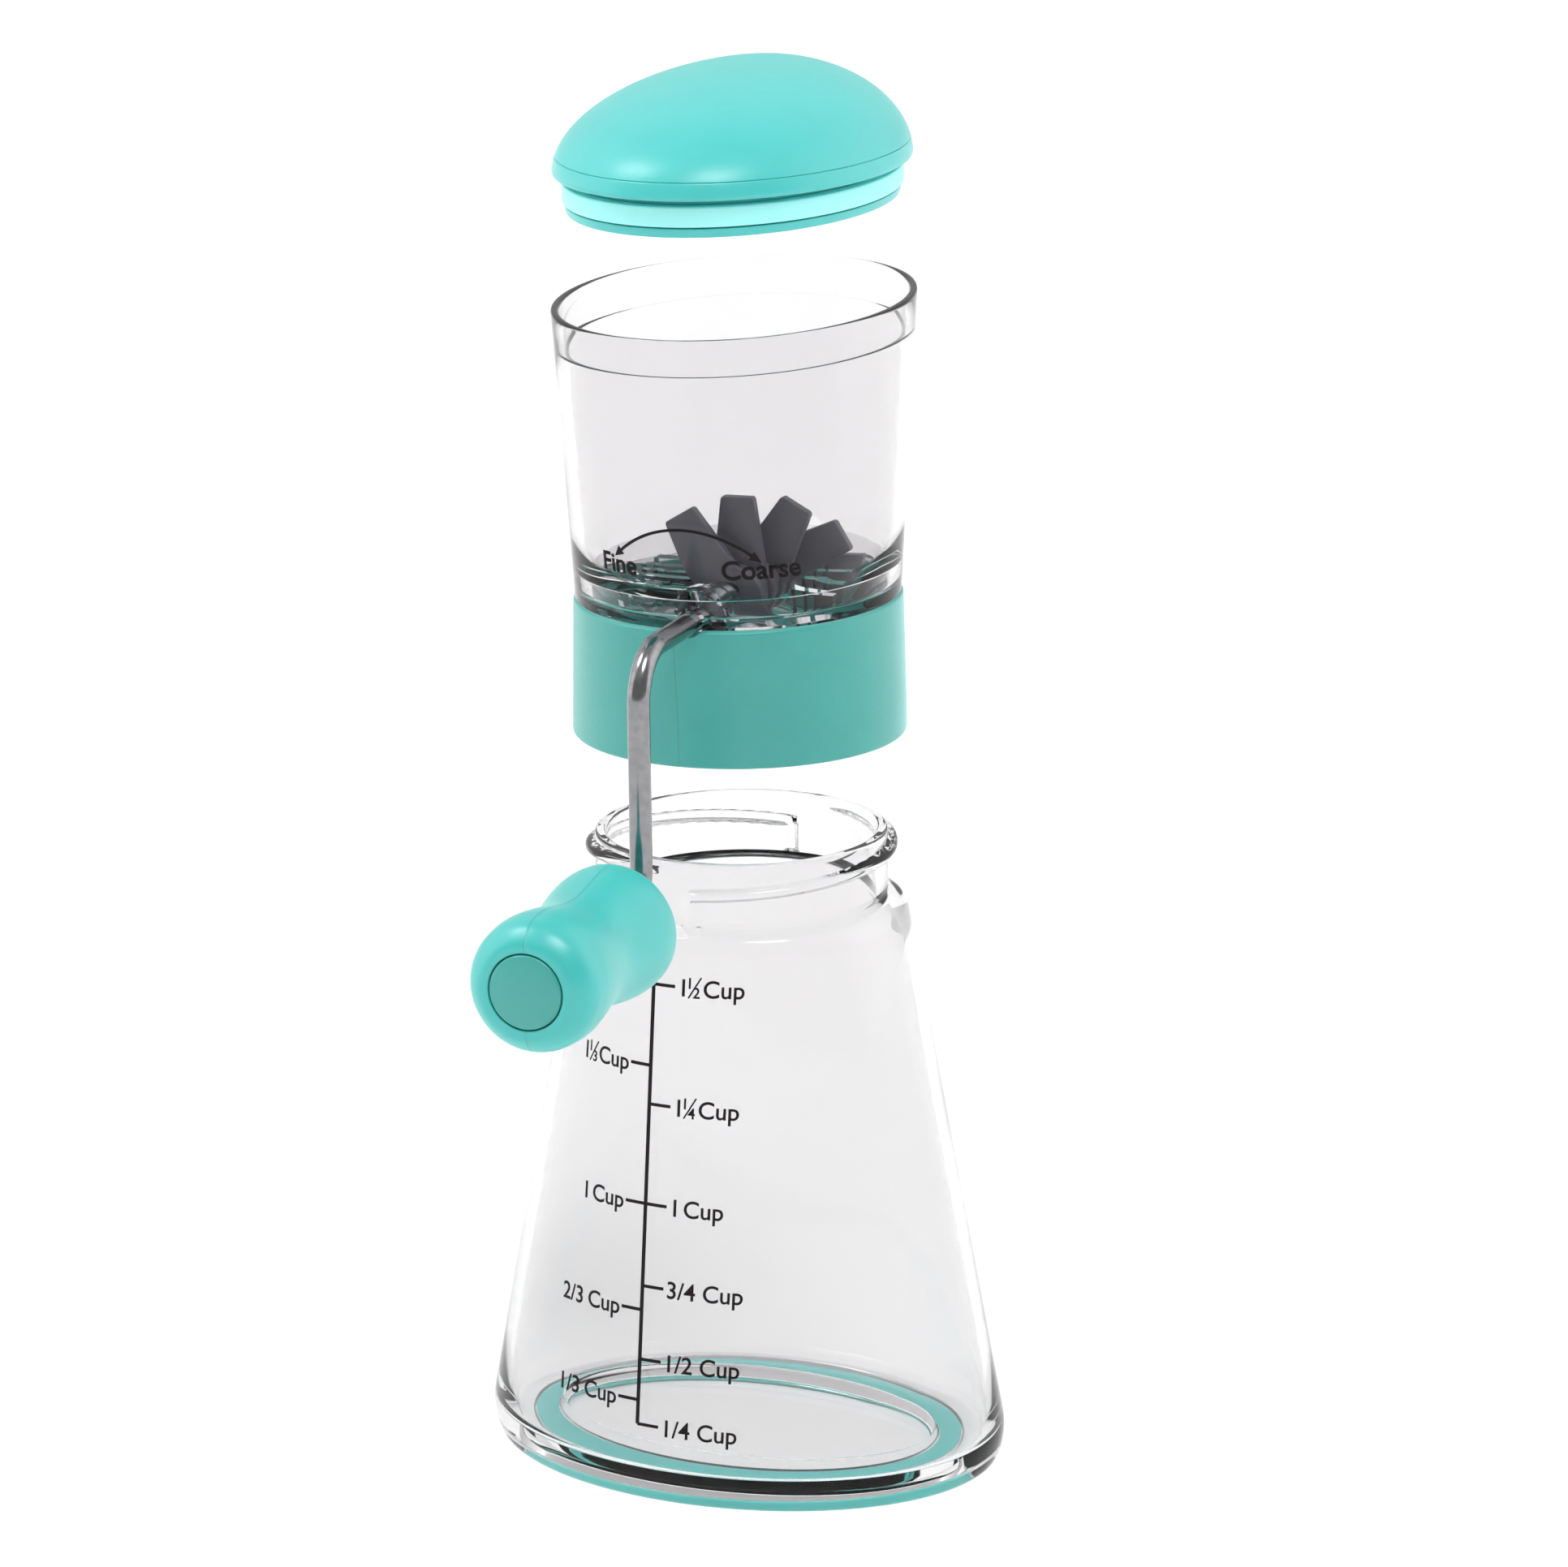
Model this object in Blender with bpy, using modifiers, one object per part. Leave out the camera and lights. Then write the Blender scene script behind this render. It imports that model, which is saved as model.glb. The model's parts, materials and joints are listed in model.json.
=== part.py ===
"""Hand-crank nut chopper with a measuring jar, laid out apart: lid over hopper over jar.

+Z is up and Z = 0 is the surface that the jar stands on. X runs along the jar's long axis and
-Y is the jar's printed front. Lengths at the top are in millimetres and are turned into metres
where the meshes are made. Each oval is given as half-length along X and half-length along Y.
"""
import math

import bmesh
import bpy
from mathutils import Matrix, Vector

MM = 0.001
GAP = 0.3                 # clearance kept between neighbouring pieces
SEGMENTS = 40             # facets round an oval

# Jar
JAR_AXIS_Y = 33.4         # the jar's axis, so that the whole layout is centred on the origin
JAR_WALL = 2.2
JAR_FOOT_Z = 0.3          # bottom of the outer rim, round the non-slip ring
GROOVE_Z = 1.9            # top of the groove that holds the ring
JAR_WIDEST = (7.0, 49.6, 37.9)        # height, half-length, half-width
JAR_SHOULDER = (103.0, 30.7, 30.2)
JAR_SHOULDER_TOP_Z = 106.5
NECK_RADIUS = 26.7
JAR_LIP_Z = 118.8
FLOOR_PANEL = (36.2, 21.9)            # sunk panel in the jar's floor
PANEL_Z = 3.3
FLOOR_Z = 5.7
PANEL_BOTTOM_Z = 1.1

# Screw thread, two starts, right-handed
THREAD_LEAD = 10.085
BEAD_RADIUS = 1.05
BEAD_START_DEG = -85.0
BEAD_START_Z = 112.9
BEAD_SWEEP_DEG = 165.0
BEAD_CREST_RADIUS = 28.5

# Hopper group at rest
HOPPER_TWIST_DEG = 5.2    # turned from the jar's front
COLLAR_BOTTOM_Z = 137.5
COLLAR_TOP_Z = 162.8
COLLAR_RADIUS = 30.3
COLLAR_TOP_OVAL = (29.4, 32.3)
COLLAR_BORE = 28.9
FLANGE_BORE = 24.2
FLANGE_Z = (151.2, 152.8)
SPIGOT_RADIUS = 27.4
LUG_SWEEP_DEG = 60.0
LUG_RISE = 3.5
CUP_RIM_Z = 216.9
CUP_RIM_OVAL = (31.0, 43.0)
CUP_LEDGE_Z = 210.0
FUNNEL_TOP_Z = 171.0      # the cup's floor is a funnel from here down to the throat's rim
THROAT_RIM_Z = 161.5
CUP_RIM_WALL = 1.5
CUP_WALL = 2.3
THROAT = (21.6, 19.6)
THROAT_X = 0.8
THROAT_SQUARENESS = 4.0
THROAT_WALL = 1.8

# Crank, paddles and handle
SHAFT_X = 2.8             # the shaft stands off the throat's middle: fine side and coarse side
SHAFT_Z = 164.3
ROD_RADIUS = 2.0
ARM_Y = -56.2
SHAFT_END_Y = 23.4
BEND_RADIUS = 9.0
HANDLE_Z = 118.9
HANDLE_NEAR = 12.2        # from the arm's plane to the grip's near end
HANDLE_LENGTH = 40.9
GRIP_RADIUS = 11.9
GRIP_WAIST = 10.2
CAP_RADIUS = 6.6
PADDLE_COUNT = 5
PADDLE_PITCH = 6.2
PADDLE_THICKNESS = 2.0
PADDLE_RADIUS = 18.0
PADDLE_TIP_WIDTH = 6.2
PADDLE_ROOT_WIDTH = 9.8
PADDLE_PHASE_DEG = -31.0  # the front paddle's lean from upright, and each next one's step
PADDLE_STEP_DEG = 30.0
HUB_RADIUS = 6.4
SHAFT_BORE = ROD_RADIUS + GAP
BUSH_RADIUS = 4.6
BUSH_SPAN = (19.3, 25.5)
CLIP_Y = 16.6
COMB_Z = (153.3, 157.0, 166.0)        # underside, top of the spine, top of the teeth
COMBS = {                 # X of the throat's wall, the spine's face and the tooth tips; tooth width
    "fine_comb": (-19.8, -16.4, -4.6, 3.0),
    "coarse_comb": (21.4, 19.7, 13.8, 2.2),
}

# Lid at rest
LID_EDGE_Z = 241.0
LID_OVAL = (30.3, 42.3)
LID_HEIGHT = 16.7
LID_PEAK_Y = 14.5         # the dome's top stands back from the middle
LID_WALL = 1.8
PLUG_BOTTOM_Z = 234.3
SEAL_Z = (236.2, 239.8)

# Non-slip ring
PAD_OVAL = (42.0, 31.8)
PAD_HOLE = (38.0, 25.4)
PAD_TOP_Z = GROOVE_Z - GAP

COLOURS = {
    "clear": ((0.86, 0.86, 0.90, 1.0), 0.05, 0.0),
    "teal": ((0.16, 0.62, 0.58, 1.0), 0.40, 0.0),
    "aqua": ((0.45, 0.92, 0.88, 1.0), 0.50, 0.0),
    "steel": ((0.62, 0.62, 0.63, 1.0), 0.18, 1.0),
    "slate": ((0.11, 0.11, 0.13, 1.0), 0.45, 0.0),
    "rubber": ((0.55, 0.57, 0.58, 1.0), 0.70, 0.0),
}


def clear_scene():
    for old in list(bpy.data.objects):
        bpy.data.objects.remove(old, do_unlink=True)


def new_collection(name):
    group = bpy.data.collections.new(name)
    bpy.context.scene.collection.children.link(group)
    return group


def material(name):
    """The Principled material called name, made once and shared."""
    found = bpy.data.materials.get(name)
    if found:
        return found
    colour, roughness, metallic = COLOURS[name]
    made = bpy.data.materials.new(name)
    made.use_nodes = True
    shader = made.node_tree.nodes["Principled BSDF"]
    shader.inputs["Base Color"].default_value = colour
    shader.inputs["Roughness"].default_value = roughness
    shader.inputs["Metallic"].default_value = metallic
    if name == "clear":
        shader.inputs["Transmission Weight"].default_value = 1.0
    return made


def new_object(name, data, group, finish=None, parent=None):
    obj = bpy.data.objects.new(name, data)
    group.objects.link(obj)
    obj.parent = parent
    if finish:
        data.materials.append(material(finish))
    return obj


def new_empty(name, group, place, parent=None, turn_deg=0.0):
    empty = new_object(name, None, group, parent=parent)
    empty.location = Vector(place) * MM
    empty.rotation_euler.z = math.radians(turn_deg)
    return empty


def shade(mesh, angle_deg=35.0):
    mesh.shade_smooth()
    mesh.set_sharp_from_angle(angle=math.radians(angle_deg))


def oval(height, half_x, half_y=None, centre=(0.0, 0.0), squareness=2.0):
    """One level of a loft: points of a superellipse (squareness 2 is a plain ellipse)."""
    half_y = half_x if half_y is None else half_y
    power = 2.0 / squareness
    points = []
    for i in range(SEGMENTS):
        turn = 2.0 * math.pi * i / SEGMENTS
        c, s = math.cos(turn), math.sin(turn)
        x = centre[0] + half_x * math.copysign(abs(c) ** power, c)
        y = centre[1] + half_y * math.copysign(abs(s) ** power, s)
        points.append(Vector((x, y, height)) * MM)
    return points


def loft_mesh(name, levels, ends="capped"):
    """Join levels of equal point count. ends is capped, looped (a closed ring) or open."""
    bm = bmesh.new()
    rings = [[bm.verts.new(p) for p in level] for level in levels]
    pairs = list(zip(rings, rings[1:]))
    if ends == "looped":
        pairs.append((rings[-1], rings[0]))
    for low, high in pairs:
        for i in range(SEGMENTS):
            j = (i + 1) % SEGMENTS
            bm.faces.new((low[i], low[j], high[j], high[i]))
    if ends == "capped":
        bm.faces.new(list(reversed(rings[0])))
        bm.faces.new(rings[-1])
    bmesh.ops.recalc_face_normals(bm, faces=bm.faces)
    mesh = bpy.data.meshes.new(name)
    bm.to_mesh(mesh)
    bm.free()
    shade(mesh)
    return mesh


def make_hidden(obj):
    obj.hide_render = True
    obj.display_type = "WIRE"


def make_cutter(name, mesh, cutters, parent=None):
    cutter = new_object(name, mesh, cutters, parent=parent)
    make_hidden(cutter)
    return cutter


def boolean(target, other, operation):
    modifier = target.modifiers.new(f"{operation.lower()} {other.name}", "BOOLEAN")
    modifier.operation = operation
    modifier.object = other
    modifier.solver = "EXACT"


def cylinder_mesh(name, radius, length, along="Y", segments=32, centre=(0.0, 0.0, 0.0)):
    bm = bmesh.new()
    bmesh.ops.create_cone(
        bm, cap_ends=True, segments=segments, radius1=radius * MM, radius2=radius * MM,
        depth=length * MM,
    )
    turns = {"X": Matrix.Rotation(math.pi / 2, 4, "Y"), "Y": Matrix.Rotation(math.pi / 2, 4, "X")}
    bm.transform(Matrix.Translation(Vector(centre) * MM) @ turns.get(along, Matrix()))
    mesh = bpy.data.meshes.new(name)
    bm.to_mesh(mesh)
    bm.free()
    shade(mesh)
    return mesh


def box_mesh(name, low, high):
    bm = bmesh.new()
    bmesh.ops.create_cube(bm, size=1.0)
    size = [h - l for l, h in zip(low, high)]
    middle = [(h + l) / 2 for l, h in zip(low, high)]
    scale = Matrix.Diagonal((*[s * MM for s in size], 1.0))
    bm.transform(Matrix.Translation(Vector(middle) * MM) @ scale)
    mesh = bpy.data.meshes.new(name)
    bm.to_mesh(mesh)
    bm.free()
    return mesh


def curve_as_mesh(curve_object):
    """Replace a curve object by its mesh with the caps welded on."""
    bpy.context.view_layer.update()
    evaluated = curve_object.evaluated_get(bpy.context.evaluated_depsgraph_get())
    mesh = bpy.data.meshes.new_from_object(evaluated)
    bm = bmesh.new()
    bm.from_mesh(mesh)
    bmesh.ops.remove_doubles(bm, verts=bm.verts, dist=0.00001)
    bmesh.ops.recalc_face_normals(bm, faces=bm.faces)
    bm.to_mesh(mesh)
    bm.free()
    shade(mesh)
    name, parent = curve_object.name, curve_object.parent
    group = curve_object.users_collection[0]
    placed = curve_object.matrix_world.copy()
    bpy.data.objects.remove(curve_object, do_unlink=True)
    obj = bpy.data.objects.new(name, mesh)
    group.objects.link(obj)
    obj.parent = parent
    obj.matrix_world = placed
    return obj


def tube_curve(name, points, radius, group, finish=None, parent=None):
    curve = bpy.data.curves.new(name, "CURVE")
    curve.dimensions = "3D"
    curve.bevel_depth = radius * MM
    curve.bevel_resolution = 2
    curve.use_fill_caps = True
    spline = curve.splines.new("POLY")
    spline.points.add(len(points) - 1)
    for knot, point in zip(spline.points, points):
        knot.co = (*(Vector(point) * MM), 1.0)
    return new_object(name, curve, group, finish, parent)


def turned(name, profile, group, finish, parent, steps=32):
    """A turned piece about its own Z axis. profile is (radius, z), down the outside first."""
    bm = bmesh.new()
    verts = [bm.verts.new((r * MM, 0.0, z * MM)) for r, z in profile]
    for first, second in zip(verts, verts[1:] + verts[:1]):
        bm.edges.new((first, second))
    mesh = bpy.data.meshes.new(name)
    bm.to_mesh(mesh)
    bm.free()
    obj = new_object(name, mesh, group, finish, parent)
    screw = obj.modifiers.new("turn", "SCREW")
    screw.steps = steps
    screw.render_steps = steps
    screw.use_merge_vertices = True
    screw.merge_threshold = 0.00001
    screw.use_normal_calculate = False
    return obj


def ring_profile(inner, outer, low, high):
    """A plain washer's profile, down its outside and up its bore."""
    return [(outer, high), (outer, low), (inner, low), (inner, high)]


def helix(radius, start_deg, start_z, sweep_deg, step_deg=7.5):
    count = round(sweep_deg / step_deg)
    points = []
    for i in range(count + 1):
        turn = math.radians(start_deg + sweep_deg * i / count)
        height = start_z + THREAD_LEAD * sweep_deg * i / count / 360.0
        points.append((radius * math.cos(turn), radius * math.sin(turn), height))
    return points


def jar_wall_oval(height):
    """Half-lengths of the jar's straight outer wall at a height."""
    (low, a0, b0), (high, a1, b1) = JAR_WIDEST, JAR_SHOULDER
    part = (height - low) / (high - low)
    return a0 + (a1 - a0) * part, b0 + (b1 - b0) * part


def jar_levels():
    """Outer skin from the base's hollow up to the lip, then the inner skin down to the floor."""
    z, a, b = JAR_WIDEST
    outer = [
        (PANEL_BOTTOM_Z, PAD_HOLE[0] - 0.8, PAD_HOLE[1] - 0.8),
        (PANEL_BOTTOM_Z + 0.4, PAD_HOLE[0] - 0.4, PAD_HOLE[1] - 0.4),
        (GROOVE_Z, PAD_HOLE[0] - 0.4, PAD_HOLE[1] - 0.4),
        (GROOVE_Z, PAD_OVAL[0] + 0.4, PAD_OVAL[1] + 0.4),
        (JAR_FOOT_Z, PAD_OVAL[0] + 0.4, PAD_OVAL[1] + 0.4),
        (JAR_FOOT_Z, a - 3.2, b - 3.1),
        (JAR_FOOT_Z + 0.5, a - 2.2, b - 2.1),
        (JAR_FOOT_Z + 1.7, a - 1.2, b - 1.1),
        (JAR_FOOT_Z + 3.4, a - 0.4, b - 0.4),
        (z, a, b),
    ]
    outer += [(h, *jar_wall_oval(h)) for h in (30.0, 55.0, 80.0)]
    shoulder_z, sa, sb = JAR_SHOULDER
    rise = JAR_SHOULDER_TOP_Z - shoulder_z
    outer += [
        (shoulder_z, sa, sb),
        (shoulder_z + 0.45 * rise, sa - 0.5, sb - 0.5),
        (shoulder_z + 0.85 * rise, sa - 1.8, sb - 1.7),
        (JAR_SHOULDER_TOP_Z, NECK_RADIUS + 0.7, NECK_RADIUS + 0.7),
        (JAR_SHOULDER_TOP_Z + 0.7, NECK_RADIUS, NECK_RADIUS),
        (JAR_LIP_Z - 0.7, NECK_RADIUS, NECK_RADIUS),
        (JAR_LIP_Z, NECK_RADIUS - 0.7, NECK_RADIUS - 0.7),
    ]
    bore = NECK_RADIUS - JAR_WALL
    inner = [
        (JAR_LIP_Z, bore + 0.5, bore + 0.5),
        (JAR_LIP_Z - 0.5, bore, bore),
        (JAR_SHOULDER_TOP_Z + 0.5, bore, bore),
        (shoulder_z - 1.0, sa - JAR_WALL - 0.6, sb - JAR_WALL - 0.6),
    ]
    for h in (96.0, 80.0, 55.0, 30.0, 12.0):
        wall_a, wall_b = jar_wall_oval(h)
        inner.append((h, wall_a - JAR_WALL, wall_b - JAR_WALL))
    inner += [
        (FLOOR_Z + 1.6, a - JAR_WALL - 0.5, b - JAR_WALL - 0.5),
        (FLOOR_Z, a - JAR_WALL - 2.0, b - JAR_WALL - 2.0),
        (FLOOR_Z, FLOOR_PANEL[0] + 0.7, FLOOR_PANEL[1] + 0.7),
        (PANEL_Z, FLOOR_PANEL[0], FLOOR_PANEL[1]),
    ]
    return [oval(*level) for level in outer + inner]


def make_jar(group, cutters, axis):
    jar = new_object("jar_body", loft_mesh("jar_body", jar_levels()), group, "clear", axis)
    for i in range(2):
        start = BEAD_START_DEG + 180.0 * i
        path = helix(BEAD_CREST_RADIUS - BEAD_RADIUS, start, BEAD_START_Z, BEAD_SWEEP_DEG)
        bead = tube_curve(f"bead_{i + 1}", path, BEAD_RADIUS, cutters, parent=axis)
        bead = curve_as_mesh(bead)
        make_hidden(bead)
        boolean(jar, bead, "UNION")
        lug = make_cutter(f"stop_lug_{i + 1}", box_mesh(
            "stop_lug", (NECK_RADIUS - 0.6, -0.8, JAR_SHOULDER_TOP_Z - 0.3),
            (BEAD_CREST_RADIUS - 0.3, 0.8, BEAD_START_Z)), cutters, axis)
        lug.rotation_euler.z = math.radians(start + 1.5)
        boolean(jar, lug, "UNION")
    pad_levels = [
        oval(0.0, PAD_OVAL[0] - 0.9, PAD_OVAL[1] - 0.9), oval(0.6, *PAD_OVAL),
        oval(PAD_TOP_Z, *PAD_OVAL), oval(PAD_TOP_Z, *PAD_HOLE),
        oval(0.6, *PAD_HOLE), oval(0.0, PAD_HOLE[0] + 0.6, PAD_HOLE[1] + 0.6),
    ]
    mesh = loft_mesh("non_slip_ring", pad_levels, "looped")
    new_object("non_slip_ring", mesh, group, "teal", axis)


def make_collar(group, cutters, axis):
    top_a, top_b = COLLAR_TOP_OVAL
    bottom, top, radius = COLLAR_BOTTOM_Z, COLLAR_TOP_Z, COLLAR_RADIUS
    seat = SPIGOT_RADIUS + GAP
    levels = [
        oval(bottom, radius - 0.5), oval(bottom + 0.7, radius), oval(bottom + 7.0, radius - 0.1),
        oval(top - 8.0, 29.7, 31.4), oval(top - 0.6, top_a, top_b),
        oval(top, top_a - 0.5, top_b - 0.5), oval(top, seat), oval(FLANGE_Z[1], seat),
        oval(FLANGE_Z[1], FLANGE_BORE), oval(FLANGE_Z[0], FLANGE_BORE),
        oval(FLANGE_Z[0], COLLAR_BORE), oval(bottom + 0.6, COLLAR_BORE),
        oval(bottom, COLLAR_BORE + 0.4),
    ]
    mesh = loft_mesh("screw_collar", levels, "looped")
    collar = new_object("screw_collar", mesh, group, "teal", axis)
    notch = cylinder_mesh("collar_notch", SHAFT_BORE + 0.2, 30.0,
                          centre=(SHAFT_X, -35.0, SHAFT_Z))
    boolean(collar, make_cutter("collar_notch", notch, cutters, axis), "DIFFERENCE")
    lug_radius = COLLAR_BORE - 0.5
    for i in range(2):
        turn, height = lug_start(i)
        path = helix(lug_radius, turn, height, LUG_SWEEP_DEG)
        lug = curve_as_mesh(tube_curve(f"collar_lug_{i + 1}", path, 0.95, cutters, parent=axis))
        make_hidden(lug)
        boolean(collar, lug, "UNION")
    seal = [oval(z, r) for z, r in (
        (FLANGE_Z[0] - GAP, FLANGE_BORE + 0.2), (FLANGE_Z[0] - GAP, COLLAR_BORE - GAP),
        (FLANGE_Z[0] - GAP - 1.3, COLLAR_BORE - GAP), (FLANGE_Z[0] - GAP - 1.3, FLANGE_BORE + 0.2))]
    new_object("collar_seal", loft_mesh("collar_seal", seal, "looped"), group, "rubber", axis)


def lug_start(index):
    """Where a collar lug starts, half a pitch below the jar's bead on the same helix."""
    low = COLLAR_BOTTOM_Z + LUG_RISE
    phase_z = BEAD_START_Z - THREAD_LEAD / 4.0
    turn = BEAD_START_DEG + (low - phase_z) / THREAD_LEAD * 360.0 + 180.0 * index
    return turn - HOPPER_TWIST_DEG, low


def cup_wall_oval(height):
    """Half-lengths of the hopper's outer wall at a height."""
    part = (height - COLLAR_TOP_Z) / (CUP_RIM_Z - COLLAR_TOP_Z)
    start_a, start_b = COLLAR_TOP_OVAL[0] - 0.3, COLLAR_TOP_OVAL[1] - 0.3
    return (start_a + (CUP_RIM_OVAL[0] - start_a) * part,
            start_b + (CUP_RIM_OVAL[1] - start_b) * part)


def cup_level(height, inset=0.0):
    a, b = cup_wall_oval(height)
    return oval(height, a - inset, b - inset)


def throat_level(height, outset=0.0):
    return oval(height, THROAT[0] + outset, THROAT[1] + outset, centre=(THROAT_X, 0.0),
                squareness=THROAT_SQUARENESS)


def make_cup(group, cutters, axis):
    skirt_z = COLLAR_TOP_Z + GAP
    outer = [
        oval(FLANGE_Z[1] + GAP, SPIGOT_RADIUS - 0.4), oval(FLANGE_Z[1] + 0.9, SPIGOT_RADIUS),
        oval(skirt_z, SPIGOT_RADIUS), cup_level(skirt_z), cup_level(180.0), cup_level(198.0),
        cup_level(CUP_RIM_Z - 0.7), cup_level(CUP_RIM_Z, 0.5),
    ]
    cup = new_object("hopper_cup", loft_mesh("hopper_cup", outer), group, "clear", axis)
    mouth = [
        throat_level(THROAT_RIM_Z), cup_level(FUNNEL_TOP_Z, CUP_WALL + 0.5),
        cup_level(FUNNEL_TOP_Z + 1.5, CUP_WALL), cup_level(190.0, CUP_WALL),
        cup_level(CUP_LEDGE_Z, CUP_WALL), cup_level(CUP_LEDGE_Z, CUP_RIM_WALL),
        cup_level(CUP_RIM_Z + 1.0, CUP_RIM_WALL),
    ]
    boolean(cup, make_cutter("cup_mouth", loft_mesh("cup_mouth", mouth), cutters, axis),
            "DIFFERENCE")
    throat = loft_mesh("cup_throat", [throat_level(FLANGE_Z[1] - 3.0),
                                      throat_level(THROAT_RIM_Z + 1.0)])
    boolean(cup, make_cutter("cup_throat", throat, cutters, axis), "DIFFERENCE")
    core = loft_mesh("funnel_outside", [
        throat_level(FLANGE_Z[1] - 4.0, THROAT_WALL),
        throat_level(THROAT_RIM_Z - 1.2, THROAT_WALL),
        cup_level(FUNNEL_TOP_Z - 2.4, CUP_WALL - 0.6), cup_level(FUNNEL_TOP_Z, CUP_WALL - 1.0)])
    core = make_cutter("funnel_outside", core, cutters, axis)
    inner = SPIGOT_RADIUS - THROAT_WALL
    skirt = loft_mesh("skirt_hollow", [
        oval(FLANGE_Z[1] - 3.0, inner), oval(skirt_z - 0.6, inner),
        cup_level(skirt_z + 2.2, CUP_WALL + 0.9), cup_level(FUNNEL_TOP_Z - 1.0, CUP_WALL)])
    skirt = make_cutter("skirt_hollow", skirt, cutters, axis)
    boolean(skirt, core, "DIFFERENCE")
    boolean(cup, skirt, "DIFFERENCE")
    near, far = BUSH_SPAN[0] - 4.0, BUSH_SPAN[1] + GAP
    for side in (-1, 1):
        bore = cylinder_mesh(f"bush_bore_{side}", BUSH_RADIUS + GAP, far - near,
                             centre=(SHAFT_X, side * (near + far) / 2, SHAFT_Z))
        name = "front_bush_bore" if side < 0 else "rear_bush_bore"
        boolean(cup, make_cutter(name, bore, cutters, axis), "DIFFERENCE")
    shaft_hole = cylinder_mesh("shaft_hole", SHAFT_BORE + 0.2, 30.0,
                               centre=(SHAFT_X, -35.0, SHAFT_Z))
    boolean(cup, make_cutter("shaft_hole", shaft_hole, cutters, axis), "DIFFERENCE")


def make_bushes(group, shaft_axis):
    near, far = BUSH_SPAN
    rear_stop = far - 0.9
    front = turned("front_bush", ring_profile(SHAFT_BORE, BUSH_RADIUS, near, far),
                   group, "rubber", shaft_axis)
    front.rotation_euler.x = math.pi / 2
    rear = turned("rear_bush", [(BUSH_RADIUS, far), (BUSH_RADIUS, near), (SHAFT_BORE, near),
                                (SHAFT_BORE, rear_stop), (0.0, rear_stop), (0.0, far)],
                  group, "rubber", shaft_axis)
    rear.rotation_euler.x = -math.pi / 2


def make_combs(group, cutters, axis):
    """Fixed teeth between the paddles: deep on the fine side, short and thin on the coarse side."""
    low_z, spine_top, tooth_top = COMB_Z
    gaps = [PADDLE_PITCH * (i - (PADDLE_COUNT - 2) / 2) for i in range(PADDLE_COUNT - 1)]
    reach = gaps[-1] + 1.7
    for name, (wall_x, spine_x, tip_x, width) in COMBS.items():
        spine = box_mesh(name, (min(wall_x, spine_x), -reach, low_z),
                         (max(wall_x, spine_x), reach, spine_top))
        comb = new_object(name, spine, group, "rubber", axis)
        for i, y in enumerate(gaps):
            tooth = box_mesh("tooth", (min(wall_x, tip_x), y - width / 2, low_z),
                             (max(wall_x, tip_x), y + width / 2, tooth_top))
            cutter = make_cutter(f"{name}_tooth_{i + 1}", tooth, cutters, axis)
            boolean(comb, cutter, "UNION")


def paddle_outline():
    """Two opposite tapered arms with square ends, round a hub."""
    tip, root = PADDLE_TIP_WIDTH / 2, PADDLE_ROOT_WIDTH / 2
    end = math.sqrt(PADDLE_RADIUS ** 2 - tip ** 2)
    start = math.sqrt(HUB_RADIUS ** 2 - root ** 2)
    arm = [(root, start), (tip, end - 0.4), (tip - 0.4, end),
           (0.4 - tip, end), (-tip, end - 0.4), (-root, start)]
    first = math.atan2(start, -root)
    steps = 4
    for k in range(1, steps):
        turn = first + 2 * (math.pi - first) * k / steps
        arm.append((HUB_RADIUS * math.cos(turn), HUB_RADIUS * math.sin(turn)))
    return arm + [(-x, -y) for x, y in arm]


def add_spline(curve, points):
    spline = curve.splines.new("POLY")
    spline.points.add(len(points) - 1)
    spline.use_cyclic_u = True
    for knot, (x, y) in zip(spline.points, points):
        knot.co = (x * MM, y * MM, 0.0, 1.0)


def make_paddles(group, shaft_axis):
    bore = [(SHAFT_BORE * math.cos(t * math.pi / 8), SHAFT_BORE * math.sin(t * math.pi / 8))
            for t in range(16)]
    first_y = -PADDLE_PITCH * (PADDLE_COUNT - 1) / 2
    for i in range(PADDLE_COUNT):
        name = f"paddle_{i + 1}"
        curve = bpy.data.curves.new(name, "CURVE")
        curve.dimensions = "2D"
        curve.fill_mode = "BOTH"
        curve.extrude = PADDLE_THICKNESS / 2 * MM
        add_spline(curve, paddle_outline())
        add_spline(curve, bore)
        paddle = new_object(name, curve, group, "slate", shaft_axis)
        lean = math.radians(PADDLE_PHASE_DEG + PADDLE_STEP_DEG * i)
        paddle.rotation_euler = (math.pi / 2, lean, 0.0)
        paddle.location.y = (first_y + PADDLE_PITCH * i) * MM
    width = PADDLE_PITCH - PADDLE_THICKNESS - 2 * GAP
    for i in range(PADDLE_COUNT - 1):
        spacer = turned(f"paddle_spacer_{i + 1}",
                        ring_profile(SHAFT_BORE, HUB_RADIUS - 0.6, -width / 2, width / 2),
                        group, "slate", shaft_axis, steps=24)
        spacer.rotation_euler.x = math.pi / 2
        spacer.location.y = (first_y + PADDLE_PITCH * (i + 0.5)) * MM
    clip = turned("shaft_clip", ring_profile(SHAFT_BORE, 4.4, -0.5, 0.5), group, "steel",
                  shaft_axis, steps=24)
    clip.rotation_euler.x = math.pi / 2
    clip.location.y = CLIP_Y * MM


def bend(corner, start, end, radius, steps=7):
    """Points of a round bend between two unit directions that meet at corner."""
    corner, start, end = Vector(corner), Vector(start), Vector(end)
    centre = corner - start * radius + end * radius
    return [centre - end * radius * math.cos(a) + start * radius * math.sin(a)
            for a in (math.pi / 2 * i / steps for i in range(steps + 1))]


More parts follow.
